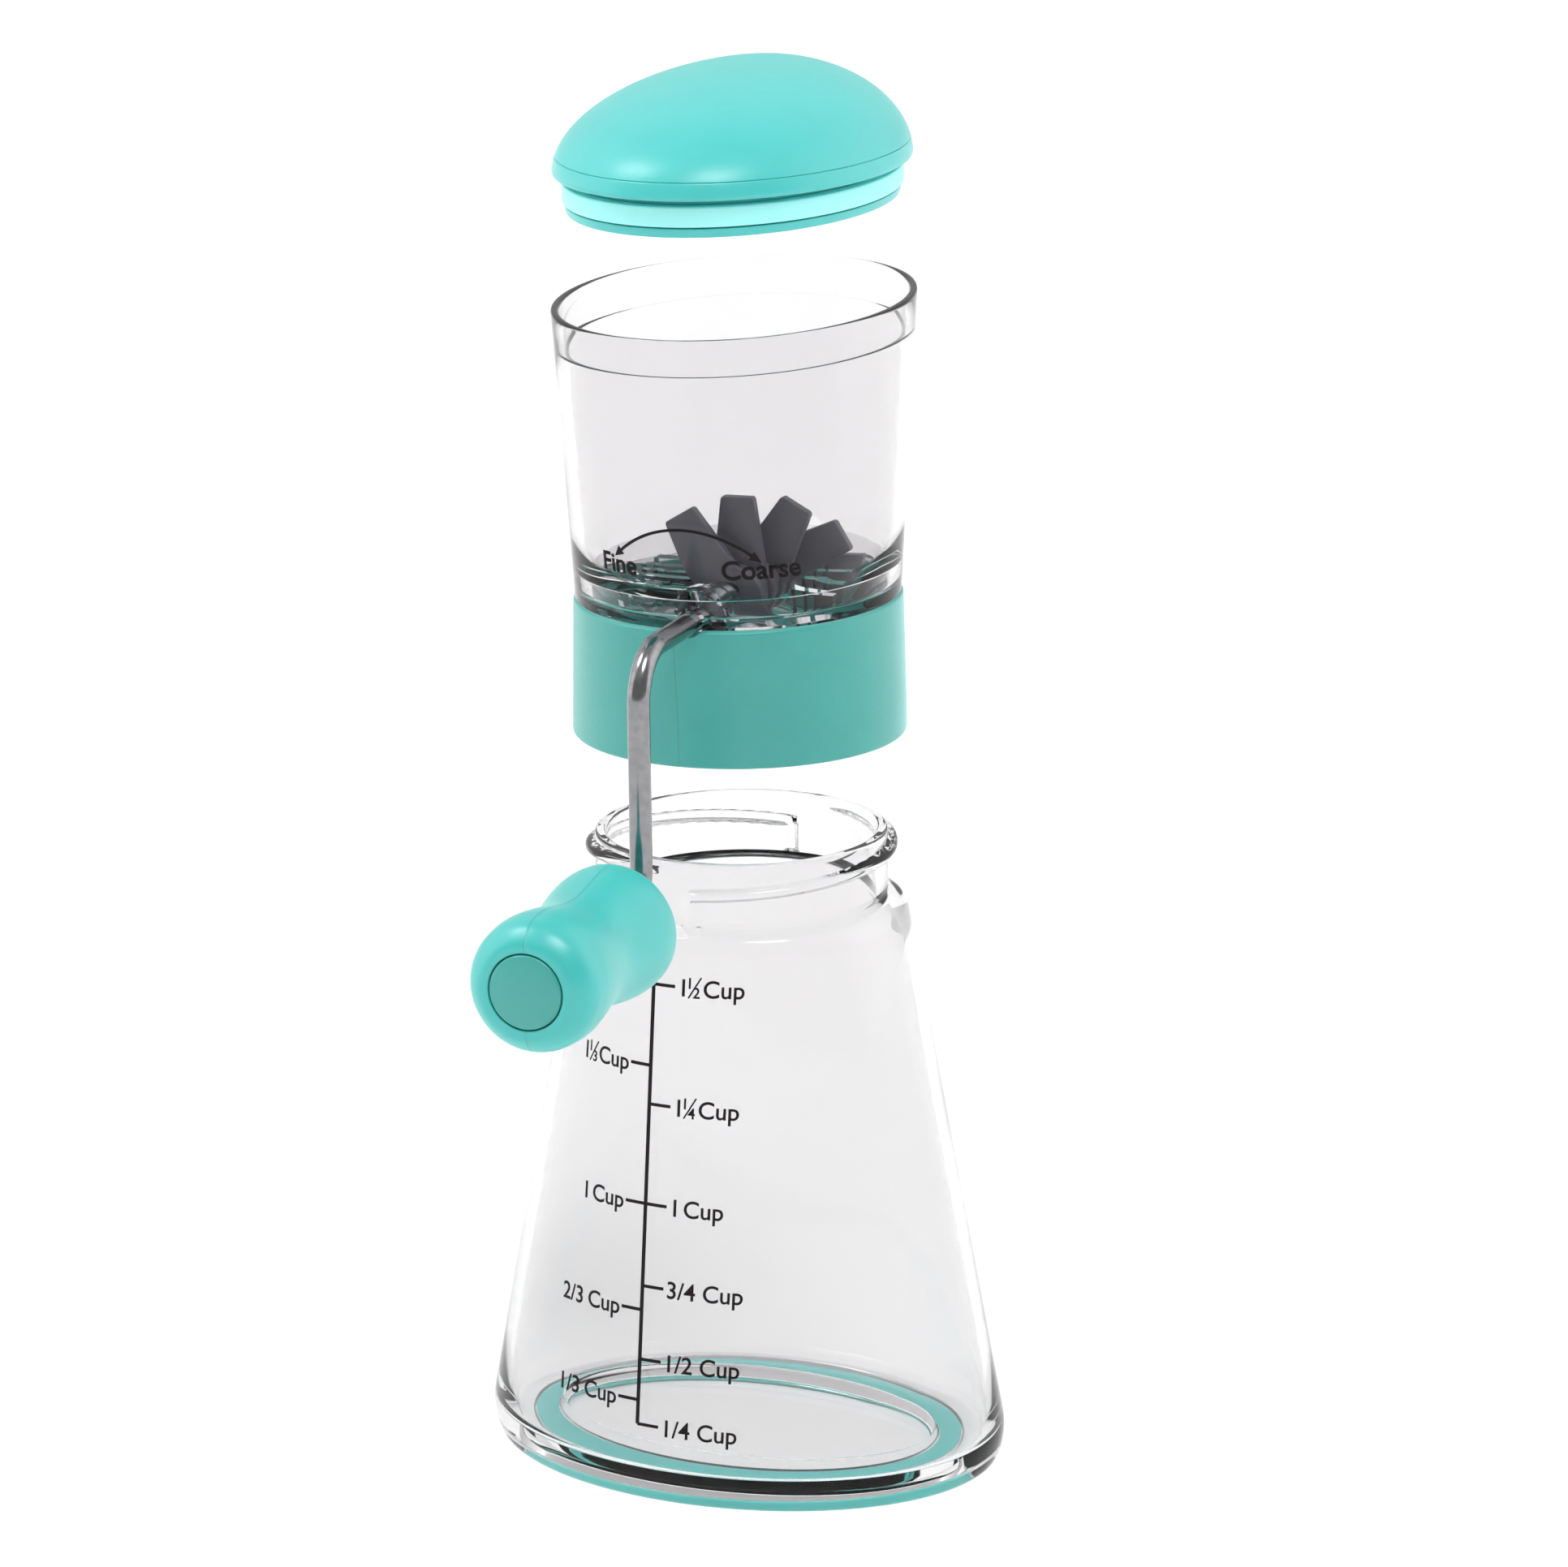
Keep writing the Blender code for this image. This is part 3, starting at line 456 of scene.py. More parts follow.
def jar_rings():
    """The jar from the underside of its panel, up outside, over the lip and down inside."""
    outside = rounded([
        (PANEL_LOW, PAD_HOLE_A - 4.0, PAD_HOLE_B - 4.0, 0.0),
        (PANEL_LOW, PAD_HOLE_A - 0.4, PAD_HOLE_B - 0.4, 0.5),
        (GROOVE_Z, PAD_HOLE_A - 0.4, PAD_HOLE_B - 0.4, 0.4),
        (GROOVE_Z, PAD_A + 0.4, PAD_B + 0.4, 0.4), (JAR_LOW, PAD_A + 0.4, PAD_B + 0.4, 0.4),
        (JAR_LOW, JAR_A - 1.6, JAR_B - 1.5, 2.2), (JAR_LOW + 2.7, JAR_A - 0.4, JAR_B - 0.4, 1.3),
        (WIDEST_Z, JAR_A + 0.1, JAR_B + 0.1, 2.0), (20.0, *wall_half(20.0), 0.0)], 8)
    outside += [Vector((z, *wall_half(z))) for z in (40.0, 60.0, 80.0, 96.0)]
    outside += rounded([
        (98.0, *wall_half(98.0), 0.0),
        (SHOULDER_TOP - 1.2, SHOULDER_A - 0.3, SHOULDER_B - 0.3, 3.2),
        (SHOULDER_TOP, NECK + 0.8, NECK + 0.8, 1.2), (SHOULDER_TOP + 0.6, NECK, NECK, 0.0)], 8)
    rings = [oval_ring(level) for level in outside]
    rows = 52
    low, high = SHOULDER_TOP + 0.9, LIP_Z - 0.9
    for k in range(rows + 1):
        z = low + (high - low) * k / rows
        rings.append(oval_ring((z, NECK, NECK), swell=thread_swell))
    lip = rounded([(LIP_Z - 0.8, NECK, NECK, 0.0), (LIP_Z, NECK - 0.1, NECK - 0.1, 0.9),
                   (LIP_Z, BORE + 0.1, BORE + 0.1, 0.9), (LIP_Z - 1.4, BORE, BORE, 0.0)], 6)
    rings += [oval_ring(level) for level in lip]
    inside = rounded([
        (SHOULDER_TOP + 2.0, BORE, BORE, 0.0), (SHOULDER_TOP - 0.6, BORE, BORE, 2.4),
        (SHOULDER_Z - 1.5, SHOULDER_A - WALL - 0.4, SHOULDER_B - WALL - 0.4, 3.0),
        (94.0, *[h - WALL for h in wall_half(94.0)], 0.0)], 8)
    inside += [Vector((z, *[h - WALL for h in wall_half(z)])) for z in (80.0, 60.0, 40.0, 20.0)]
    inside += rounded([
        (12.0, *[h - WALL for h in wall_half(12.0)], 0.0),
        (FLOOR_Z, JAR_A - WALL - 0.9, JAR_B - WALL - 0.9, 2.4),
        (FLOOR_Z, FLOOR_A + 0.7, FLOOR_B + 0.7, 0.6), (PANEL_Z, FLOOR_A + 0.1, FLOOR_B + 0.1, 0.6),
        (PANEL_Z, FLOOR_A - 3.0, FLOOR_B - 3.0, 0.0)], 8)
    rings += [oval_ring(level) for level in inside]
    return rings


piece("jar", skin("jar", jar_rings(), "capped"), CLEAR, "jar", JAR_PLACE, "jar_body")

pad = rounded([(1.0, PAD_HOLE_A, PAD_HOLE_B, 0.0), (0.0, PAD_HOLE_A, PAD_HOLE_B, 0.5),
               (0.0, PAD_A, PAD_B, 0.8), (PAD_TOP, PAD_A, PAD_B, 0.4),
               (PAD_TOP, PAD_HOLE_A, PAD_HOLE_B, 0.4), (1.0, PAD_HOLE_A, PAD_HOLE_B, 0.0)])
piece("foot_ring", skin("foot_ring", [oval_ring(level) for level in pad[:-1]], "looped"),
      TEAL_SOFT, "jar", JAR_PLACE, "non_slip_ring")

# ---------------------------------------------------------------- hopper

_, COLLAR_LOW, COLLAR_TOP = span("screw_collar")
_, SPIGOT_LOW, RIM_Z = span("hopper_cup")
RIM_A, RIM_B = 31.0, 43.0
FOOT_A, FOOT_B = 29.1, 32.0
CUP_WALL, RIM_WALL = 2.3, 1.5
LEDGE_Z = 210.0
FUNNEL_TOP, THROAT_RIM = 171.0, 161.5
SPIGOT = 27.4
THROAT_A, THROAT_B, THROAT_X, THROAT_SQUARENESS = 21.6, 19.6, 0.8, 4.0
THROAT_WALL = 1.8
SKIRT_Z = COLLAR_TOP + 0.3


def cup_half(z, inset=0.0):
    """Half-sizes of the hopper's outside at a height, less an inset."""
    part = (z - COLLAR_TOP) / (RIM_Z - COLLAR_TOP)
    return FOOT_A + (RIM_A - FOOT_A) * part - inset, FOOT_B + (RIM_B - FOOT_B) * part - inset


def throat_ring(z, outset=0.0, inside=None):
    """A ring of the throat, kept inside an oval where its corners would pass through it."""
    ring = oval_ring((z, THROAT_A + outset, THROAT_B + outset), (THROAT_X, 0.0),
                     THROAT_SQUARENESS)
    if inside:
        a, b = inside
        for i, (x, y, height) in enumerate(ring):
            reach = math.hypot(x / MM / a, y / MM / b)
            if reach > 1.0:
                ring[i] = (x / reach, y / reach, height)
    return ring


def between(low, high, part, sag):
    """A ring part of the way between two, sagging under the straight line by some millimetres."""
    drop = sag * math.sin(math.pi * part) * MM
    return [tuple(p + (q - p) * part - (drop if k == 2 else 0.0)
                  for k, (p, q) in enumerate(zip(a, b))) for a, b in zip(low, high)]


def cup_rings():
    """The hopper up outside, over the rim, down the funnel and throat, and up underneath."""
    outside = rounded([
        (SPIGOT_LOW, SPIGOT - 1.8, SPIGOT - 1.8, 0.0), (SPIGOT_LOW, SPIGOT, SPIGOT, 0.5),
        (SKIRT_Z, SPIGOT, SPIGOT, 0.3), (SKIRT_Z, *cup_half(SKIRT_Z), 0.4),
        (172.0, *cup_half(172.0), 0.0)])
    outside += [Vector((z, *cup_half(z))) for z in (182.0, 192.0, 202.0, 212.0)]
    rim = rounded([
        (214.0, *cup_half(214.0), 0.0), (RIM_Z, *cup_half(RIM_Z), 0.75),
        (RIM_Z, *cup_half(RIM_Z, RIM_WALL), 0.75), (LEDGE_Z, *cup_half(LEDGE_Z, RIM_WALL), 0.3),
        (LEDGE_Z, *cup_half(LEDGE_Z, CUP_WALL), 0.4), (206.0, *cup_half(206.0, CUP_WALL), 0.0)], 6)
    inside = [Vector((z, *cup_half(z, CUP_WALL))) for z in (200.0, 190.0, 182.0, 175.0, 172.6)]
    rings = [oval_ring(level) for level in outside + rim + inside]
    top = oval_ring((FUNNEL_TOP, *cup_half(FUNNEL_TOP, CUP_WALL + 0.5)))
    low = throat_ring(THROAT_RIM)
    rings += [between(low, top, part, 0.5) for part in (1.0, 0.9, 0.7, 0.5, 0.3, 0.1, 0.02)]
    inner = SPIGOT - THROAT_WALL
    within = (inner - 0.15, inner - 0.15)
    rings += [throat_ring(z) for z in (THROAT_RIM - 0.5, 158.0, SPIGOT_LOW + 0.2)]
    rings += [throat_ring(SPIGOT_LOW, 0.3, within),
              throat_ring(SPIGOT_LOW, THROAT_WALL - 0.2, within),
              throat_ring(SPIGOT_LOW + 0.2, THROAT_WALL, within),
              throat_ring(THROAT_RIM - 1.4, THROAT_WALL, within)]
    under_top = oval_ring((FUNNEL_TOP - 2.5, *cup_half(FUNNEL_TOP, CUP_WALL + 0.3)))
    under_low = throat_ring(THROAT_RIM - 1.2, THROAT_WALL, within)
    rings += [between(under_low, under_top, part, 0.5) for part in (0.1, 0.3, 0.5, 0.7, 0.9, 1.0)]
    skirt = rounded([
        (FUNNEL_TOP - 2.6, *cup_half(FUNNEL_TOP, CUP_WALL), 0.0),
        (SKIRT_Z + 2.2, *cup_half(SKIRT_Z + 2.2, CUP_WALL), 0.6),
        (SKIRT_Z - 0.4, inner, inner, 0.6), (SPIGOT_LOW, inner, inner, 0.0)])
    rings += [oval_ring(level) for level in skirt]
    return rings


cup = piece("hopper", skin("hopper", cup_rings(), "looped"), CLEAR_CUP, "hopper", HOPPER_PLACE,
            "hopper_cup")
BUSH_HOLE, CRANK_HOLE = 4.9, 2.5
BUSH_OUTER_Y, BUSH_INNER_Y = 25.8, 15.3           # from the shaft's middle, both ways
CRANK_HOLE_Y = (-40.0, -20.0)
cut(cup, BUSH_HOLE, -BUSH_OUTER_Y, -BUSH_INNER_Y, SHAFT.x, SHAFT.z)
cut(cup, BUSH_HOLE, BUSH_INNER_Y, BUSH_OUTER_Y, SHAFT.x, SHAFT.z)
cut(cup, CRANK_HOLE, *CRANK_HOLE_Y, SHAFT.x, SHAFT.z)


def collar_rings():
    """The collar's closed section, oval at the top and round inside."""
    seat, bore, flange = SPIGOT + 0.3, 28.9, 24.2
    low_z, high_z = 151.2, 152.8
    levels = rounded([
        (145.0, bore, bore, 0.0), (COLLAR_LOW, bore, bore, 0.5),
        (COLLAR_LOW, 30.3, 30.3, 0.8), (145.0, 30.15, 30.25, 0.0), (154.8, 29.75, 31.4, 0.0),
        (COLLAR_TOP, 29.4, 32.3, 0.7), (COLLAR_TOP, seat, seat, 0.4), (high_z, seat, seat, 0.3),
        (high_z, flange, flange, 0.5), (low_z, flange, flange, 0.5), (low_z, bore, bore, 0.2),
        (149.0, bore, bore, 0.0)])
    return [oval_ring(level) for level in levels]


collar = piece("collar", skin("collar", collar_rings(), "looped"), TEAL_RING, "hopper",
               HOPPER_PLACE, "screw_collar")
cut(collar, CRANK_HOLE, *CRANK_HOLE_Y, SHAFT.x, SHAFT.z)

# ---------------------------------------------------------------- crank

ROD, ROD_SIDES, BEND_STEPS = 2.0, 40, 24
ARM_Y, NEAR_BEND, FAR_BEND = -56.2, 9.0, 8.0
SHAFT_END, SPINDLE_SHORT = 23.4, 7.0  # the shaft's far end, and how far the spindle stops short
GRIP_LENGTH = 40.9


def bend(corner, start, end, radius):
    """Points of a quarter turn from the direction start to the direction end."""
    corner, start, end = Vector(corner), Vector(start), Vector(end)
    centre = corner - start * radius + end * radius
    return [centre - end * radius * math.cos(a) + start * radius * math.sin(a)
            for a in (math.pi / 2 * i / BEND_STEPS for i in range(BEND_STEPS + 1))]


drop = HANDLE.z - SHAFT.z
OUT, DOWN = (0.0, -1.0, 0.0), (0.0, 0.0, -1.0)
route = [Vector((0.0, SHAFT_END, 0.0))]
route += bend((0.0, ARM_Y, 0.0), OUT, DOWN, NEAR_BEND)
route += bend((0.0, ARM_Y, drop), DOWN, OUT, FAR_BEND)
route.append(Vector((0.0, HANDLE.y - GRIP_LENGTH + SPINDLE_SHORT, drop)))


def rod_mesh(name, points, radius):
    """A solid bar along points in the YZ plane, with flat ends."""
    rings = []
    for i, point in enumerate(points):
        ahead = points[min(i + 1, len(points) - 1)] - points[max(i - 1, 0)]
        side = Vector((1.0, 0.0, 0.0))
        up = ahead.normalized().cross(side)
        rings.append([tuple((point + side * radius * math.cos(TURN * k / ROD_SIDES)
                             + up * radius * math.sin(TURN * k / ROD_SIDES)) * MM)
                      for k in range(ROD_SIDES)])
    return skin(name, rings, "capped")


piece("crank", rod_mesh("crank", route, ROD), STEEL, "crank", SHAFT_PLACE, "crank_rod")

ALONG_SHAFT = Matrix.Rotation(math.pi / 2, 4, "X")
PADDLES, PITCH, PADDLE_THICK = 5, 6.2, 2.0
TIP, HUB, TIP_HALF, ROOT_HALF = 18.0, 6.4, 3.1, 4.9
FIRST_LEAN, LEAN_STEP = math.radians(-31.0), math.radians(30.0)


def paddle_outline():
    """Two opposite tapered arms with square ends, round a hub."""
    end = math.sqrt(TIP ** 2 - TIP_HALF ** 2)
    root = math.sqrt(HUB ** 2 - ROOT_HALF ** 2)
    arm = [(ROOT_HALF, root), (TIP_HALF, end - 0.4), (TIP_HALF - 0.4, end),
           (0.4 - TIP_HALF, end), (-TIP_HALF, end - 0.4), (-ROOT_HALF, root)]
    first = math.atan2(root, -ROOT_HALF)
    for k in range(1, 10):
        turn = first + 2.0 * (math.pi - first) * k / 10
        arm.append((HUB * math.cos(turn), HUB * math.sin(turn)))
    return arm + [(-x, -y) for x, y in arm]


def flat_mesh(name, outlines, thickness, edge):
    """A plate from closed outlines, the first outside and the rest holes, with rounded edges."""
    curve = bpy.data.curves.new(name, "CURVE")
    curve.dimensions = "2D"
    curve.fill_mode = "BOTH"
    curve.extrude = (thickness / 2 - edge) * MM
    curve.bevel_depth = edge * MM
    curve.bevel_resolution = 3
    curve.offset = -edge * MM
    for outline in outlines:
        spline = curve.splines.new("POLY")
        spline.points.add(len(outline) - 1)
        spline.use_cyclic_u = True
        for knot, (x, y) in zip(spline.points, outline):
            knot.co = (x * MM, y * MM, 0.0, 1.0)
    mesh = mesh_from_curve(name, curve)
    mesh.materials.clear()
    return finished(mesh, weld_mm=0.002, sharp=40.0)


SHAFT_BORE, BORE_SIDES, HUB_GAP = 2.3, 48, 0.3
bore_turns = [TURN * k / BORE_SIDES for k in range(BORE_SIDES)]
bore_outline = [(SHAFT_BORE * math.cos(turn), SHAFT_BORE * math.sin(turn)) for turn in bore_turns]
for i in range(PADDLES):
    paddle = flat_mesh(f"paddle_{i + 1}", [paddle_outline(), bore_outline], PADDLE_THICK, 0.2)
    y = PITCH * (i - (PADDLES - 1) / 2)
    place = (SHAFT_PLACE @ Matrix.Translation((0.0, y * MM, 0.0))
             @ Matrix.Rotation(FIRST_LEAN + LEAN_STEP * i, 4, "Y") @ ALONG_SHAFT)
    piece(f"blade_{i + 1}", paddle, SLATE, "crank", place, f"paddle_{i + 1}")
width = PITCH - PADDLE_THICK - 2 * HUB_GAP
for i in range(PADDLES - 1):
    hub = turned_mesh(f"hub_{i + 1}", round_profile([
        (SHAFT_BORE, -width / 2, 0.1), (HUB - 0.6, -width / 2, 0.4), (HUB - 0.6, width / 2, 0.4),
        (SHAFT_BORE, width / 2, 0.1)]))
    y = PITCH * (i - (PADDLES - 2) / 2)
    piece(f"hub_{i + 1}", hub, SLATE, "crank",
          SHAFT_PLACE @ Matrix.Translation((0.0, y * MM, 0.0)) @ ALONG_SHAFT,
          f"paddle_spacer_{i + 1}")

# ---------------------------------------------------------------- CAD nodes that keep their shape

for name, finish in {"fine_comb": CLEAR_BLOCK, "coarse_comb": CLEAR_BLOCK,
                     "front_bush": CLEAR_BLOCK, "rear_bush": CLEAR_BLOCK, "shaft_clip": STEEL,
                     "handle_retainer": STEEL, "collar_seal": GREY_SEAL}.items():
    mesh = frame["nodes"][name].data
    mesh.materials.clear()
    mesh.materials.append(finish)

# ---------------------------------------------------------------- handle

GRIP, WAIST, CAP = 11.9, 10.2, 6.6
ALONG_HANDLE = HANDLE_PLACE @ ALONG_SHAFT


def grip_profile():
    """The grip's closed outline, from the cap's recess over the waist to the bore."""
    length = GRIP_LENGTH
    far = round_profile([
        (CAP + 0.15, length - 3.0, 0.0), (CAP + 0.15, length - 0.2, 0.3),
        (CAP + 2.0, length - 0.3, 1.6), (GRIP - 0.4, length - 3.0, 4.0),
        (GRIP, length - 7.5, 0.0)], 8)
    points = far[:-1]
    span_z = length - 11.0
    for k in range(33):
        part = k / 32
        dip = math.sin(math.pi * part) ** 2
        points.append((GRIP - (GRIP - WAIST) * dip, length - 7.5 - span_z * part))
    points += round_profile([
        (GRIP, 3.4, 0.0), (GRIP - 0.2, 0.2, 2.4), (GRIP - 3.4, 0.0, 1.2),
        (SHAFT_BORE, 0.0, 0.3), (SHAFT_BORE, length - 9.0, 0.0),
        (CAP - 0.6, length - 9.0, 0.3), (CAP - 0.6, length - 3.0, 0.0)], 8)
    return points


piece("grip", turned_mesh("grip", grip_profile(), 160), TEAL_GRIP, "handle", ALONG_HANDLE,
      "handle_grip")
length, plug = GRIP_LENGTH, CAP - 0.9
cap_profile = round_profile([
    (0.0, length + 0.5, 0.0), (3.4, length + 0.35, 2.0), (CAP - 0.1, length - 0.1, 0.5),
    (CAP, length - 2.7, 0.2), (plug, length - 2.7, 0.0), (plug, length - 4.6, 0.2),
    (plug - 1.6, length - 4.6, 0.0), (plug - 1.6, length - 2.6, 0.0), (0.0, length - 2.6, 0.0)])
piece("grip_cap", turned_mesh("grip_cap", cap_profile, 96), TEAL_CAP, "handle", ALONG_HANDLE,
      "handle_cap")

# ---------------------------------------------------------------- lid

LID_A, LID_B = 30.3, 42.3
_, LID_EDGE, LID_TOP = span("lid_dome")
LID_HEIGHT, PEAK_Y, LID_WALL = LID_TOP - LID_EDGE, 14.5, 1.8
_, PLUG_LOW, PLUG_TOP = span("lid_plug")
_, SEAL_LOW, SEAL_TOP = span("lid_seal")


def dome_ring(part, inset=0.0, crease=0.0):
    """A ring of the dome, whose middle moves back towards the peak as it rises."""
    turn = part * math.pi / 2
    spread = math.cos(turn) ** 0.95
    z = LID_EDGE + (LID_HEIGHT - inset) * math.sin(turn)
    back = PEAK_Y * (1.0 - spread)
    return oval_ring((z, (LID_A - inset) * spread - crease, (LID_B - inset) * spread - crease),
                     (0.0, back))


CREASE, CREASE_DEEP = 0.118, 0.22
dome_parts = [1.0 - (1.0 - k / 40) ** 1.6 for k in range(40)] + [0.9985]
outer_parts = [p for p in dome_parts if abs(p - CREASE) > 0.014 and p > 0.01]
outer_parts += [CREASE - 0.010, CREASE - 0.004, CREASE, CREASE + 0.004, CREASE + 0.010]
outer_parts.sort()
dome = [dome_ring(p, 0.0, CREASE_DEEP if abs(p - CREASE) < 0.001 else 0.0)
        for p in reversed(outer_parts)]
dome += [oval_ring(level) for level in rounded([
    (LID_EDGE + 0.8, LID_A - 0.02, LID_B - 0.03, 0.0), (LID_EDGE, LID_A - 0.1, LID_B - 0.1, 0.6),
    (LID_EDGE, LID_A - 1.2, LID_B - 1.2, 0.0)])]
dome += [dome_ring(p, LID_WALL) for p in dome_parts]
piece("lid", skin("lid", dome, "capped"), TEAL_LID, "lid", HOPPER_PLACE, "lid_dome")
PLUG_A, PLUG_B = LID_A - 2.1, LID_B - 2.1
PLUG_WALL, SEAL_SEAT = 3.6, 1.9       # inwards from the plug's outside
plug_levels = rounded([
    ((PLUG_LOW + PLUG_TOP) / 2, PLUG_A - PLUG_WALL, PLUG_B - PLUG_WALL, 0.0),
    (PLUG_LOW, PLUG_A - PLUG_WALL, PLUG_B - PLUG_WALL, 0.4),
    (PLUG_LOW, PLUG_A - 0.3, PLUG_B - 0.3, 0.5), (SEAL_LOW - 0.3, PLUG_A, PLUG_B, 0.2),
    (SEAL_LOW - 0.3, PLUG_A - SEAL_SEAT, PLUG_B - SEAL_SEAT, 0.1),
    (PLUG_TOP - 0.1, PLUG_A - SEAL_SEAT, PLUG_B - SEAL_SEAT, 0.0),
    (PLUG_TOP, PLUG_A - SEAL_SEAT, PLUG_B - SEAL_SEAT, 0.0),
    (PLUG_TOP, PLUG_A - PLUG_WALL, PLUG_B - PLUG_WALL, 0.0)])
piece("lid_plug_wall", skin("lid_plug_wall", [oval_ring(v) for v in plug_levels], "looped"),
      TEAL_LID, "lid", HOPPER_PLACE, "lid_plug")
middle = (SEAL_LOW + SEAL_TOP) / 2
seal_levels = rounded([
    (middle, PLUG_A - 1.6, PLUG_B - 1.6, 0.0), (SEAL_LOW, PLUG_A - 1.6, PLUG_B - 1.6, 0.0),
    (SEAL_LOW, PLUG_A + 0.4, PLUG_B + 0.4, 0.5), (middle, PLUG_A + 0.35, PLUG_B + 0.35, 0.4),
    (SEAL_TOP, PLUG_A + 0.4, PLUG_B + 0.4, 0.5), (SEAL_TOP, PLUG_A - 1.6, PLUG_B - 1.6, 0.0)])
piece("seal_band", skin("seal_band", [oval_ring(v) for v in seal_levels], "looped"),
      AQUA_SEAL, "lid", HOPPER_PLACE, "lid_seal")

# ---------------------------------------------------------------- printing


def text_mesh(words, size, bold=0.05):
    """The built-in font's letters as a flat filled mesh, from the origin rightwards."""
    curve = bpy.data.curves.new("print", "FONT")
    curve.body = words
    curve.size = size * MM
    curve.offset = bold * MM
    curve.resolution_u = 6
    return mesh_from_curve("print", curve)


def strip_mesh(points, width):
    """A flat ribbon of a width along points in the plane, in millimetres."""
    verts, faces = [], []
    for i, point in enumerate(points):
        a, b = points[max(i - 1, 0)], points[min(i + 1, len(points) - 1)]
        dx, dy = b[0] - a[0], b[1] - a[1]
        size = math.hypot(dx, dy)
        nx, ny = -dy / size * width / 2, dx / size * width / 2
        verts += [((point[0] + nx) * MM, (point[1] + ny) * MM, 0.0),
                  ((point[0] - nx) * MM, (point[1] - ny) * MM, 0.0)]
    for i in range(len(points) - 1):
        faces.append((2 * i, 2 * i + 1, 2 * i + 3, 2 * i + 2))
    mesh = bpy.data.meshes.new("strip")
    mesh.from_pydata(verts, [], faces)
    return mesh


INK_LIFT, INK_THICK, WRAP_STEPS = 0.03, 0.05, 24


def wrap(meshes, half_at, start, centre_u=0.0):
    """Lay flat meshes on an oval wall: x runs round it from an angle, y is the height."""
    bm = bmesh.new()
    for mesh in meshes:
        bm.from_mesh(mesh)
    bmesh.ops.remove_doubles(bm, verts=bm.verts, dist=0.000001)
    long_edges = [e for e in bm.edges if e.calc_length() > 1.6 * MM]
    bmesh.ops.subdivide_edges(bm, edges=long_edges, cuts=3)
    bmesh.ops.triangulate(bm, faces=bm.faces)
    solid = bmesh.ops.extrude_face_region(bm, geom=list(bm.faces))
    raised = {g for g in solid["geom"] if isinstance(g, bmesh.types.BMVert)}
    for vert in bm.verts:
        u, z = vert.co.x / MM + centre_u, vert.co.y / MM
        a, b = half_at(z)
        lift = INK_LIFT + (INK_THICK if vert in raised else 0.0)
        turn = start
        for _ in range(WRAP_STEPS):
            turn += u / WRAP_STEPS / math.hypot(a * math.sin(turn), b * math.cos(turn))
        normal = Vector((math.cos(turn) / a, math.sin(turn) / b)).normalized()
        vert.co = Vector((a * math.cos(turn) + normal.x * lift,
                          b * math.sin(turn) + normal.y * lift, z)) * MM
    bmesh.ops.recalc_face_normals(bm, faces=bm.faces)
    bm.verts.index_update()
    count = len(bm.verts)

    def rank(face):
        first, second, third = sorted(vert.index for vert in face.verts)[:3]
        return (first * count + second) * count + third

    bm.faces.sort(key=rank)             # an extrusion's own face order varies from run to run
    mesh = bpy.data.meshes.new("wrapped")
    bm.to_mesh(mesh)
    bm.free()
    return mesh


def shifted(mesh, x, y):
    mesh.transform(Matrix.Translation((x * MM, y * MM, 0.0)))
    return mesh


TEXT = 4.5
TICK, LABEL_GAP = 4.3, 0.5
SCALE_TURN = math.radians(-95.0)      # the scale stands a little left of the jar's front
SCALE_LINE, TICK_LINE, LABEL_DROP = 0.75, 0.6, 1.6
FRACTION = 0.62                       # size of a fraction's figures, beside whole ones


def placed_text(words, size, x, y):
    """A flat text mesh whose left end is at x and whose foot is at y, and its right end."""
    mesh = shifted(text_mesh(words, size), x, y)
    return mesh, max(vert.co.x for vert in mesh.vertices) / MM


def label(whole, top, bottom):
    """A label such as 1 1/2 Cup, its fraction set small and slanted. Its left end is at 0."""
    meshes, x = [], 0.0
    if whole:
        mesh, x = placed_text(whole, TEXT, 0.0, 0.0)
        meshes.append(mesh)
    if top and whole:
        mesh, end = placed_text(top, TEXT * FRACTION, x + 0.2, 1.5)
        meshes.append(mesh)
        meshes.append(strip_mesh([(x + 0.7, -0.3), (x + 3.0, 3.6)], 0.3))
        mesh, x = placed_text(bottom, TEXT * FRACTION, end + 0.4, -0.2)
        meshes.append(mesh)
    elif top:
        mesh, x = placed_text(f"{top}/{bottom}", TEXT, x, 0.0)
        meshes.append(mesh)
    mesh, x = placed_text("Cup", TEXT, x + (0.5 if whole and top else 1.3), 0.0)
    meshes.append(mesh)
    return meshes, x


RIGHT_MARKS = {("", "1", "4"): 15.2, ("", "1", "2"): 27.4, ("", "3", "4"): 41.1,
               ("1", "", ""): 56.4, ("1", "1", "4"): 74.9, ("1", "1", "2"): 97.0}
LEFT_MARKS = {("", "1", "3"): 19.7, ("", "2", "3"): 36.6, ("1", "", ""): 56.4,
              ("1", "1", "3"): 82.0}
SCALE_FOOT, SCALE_HEIGHT = 15.2, 81.8
prints = [strip_mesh([(0.0, SCALE_FOOT + SCALE_HEIGHT * k / 40) for k in range(41)], SCALE_LINE)]
for marks, side in ((RIGHT_MARKS, 1), (LEFT_MARKS, -1)):
    for parts, z in marks.items():
        prints.append(strip_mesh([(side * TICK * k / 4, z) for k in range(5)], TICK_LINE))
        meshes, end = label(*parts)
        x = TICK + LABEL_GAP if side > 0 else -TICK - LABEL_GAP - end
        prints += [shifted(mesh, x, z - LABEL_DROP) for mesh in meshes]
piece("jar_scale", wrap(prints, wall_half, SCALE_TURN), INK, "jar", JAR_PLACE)


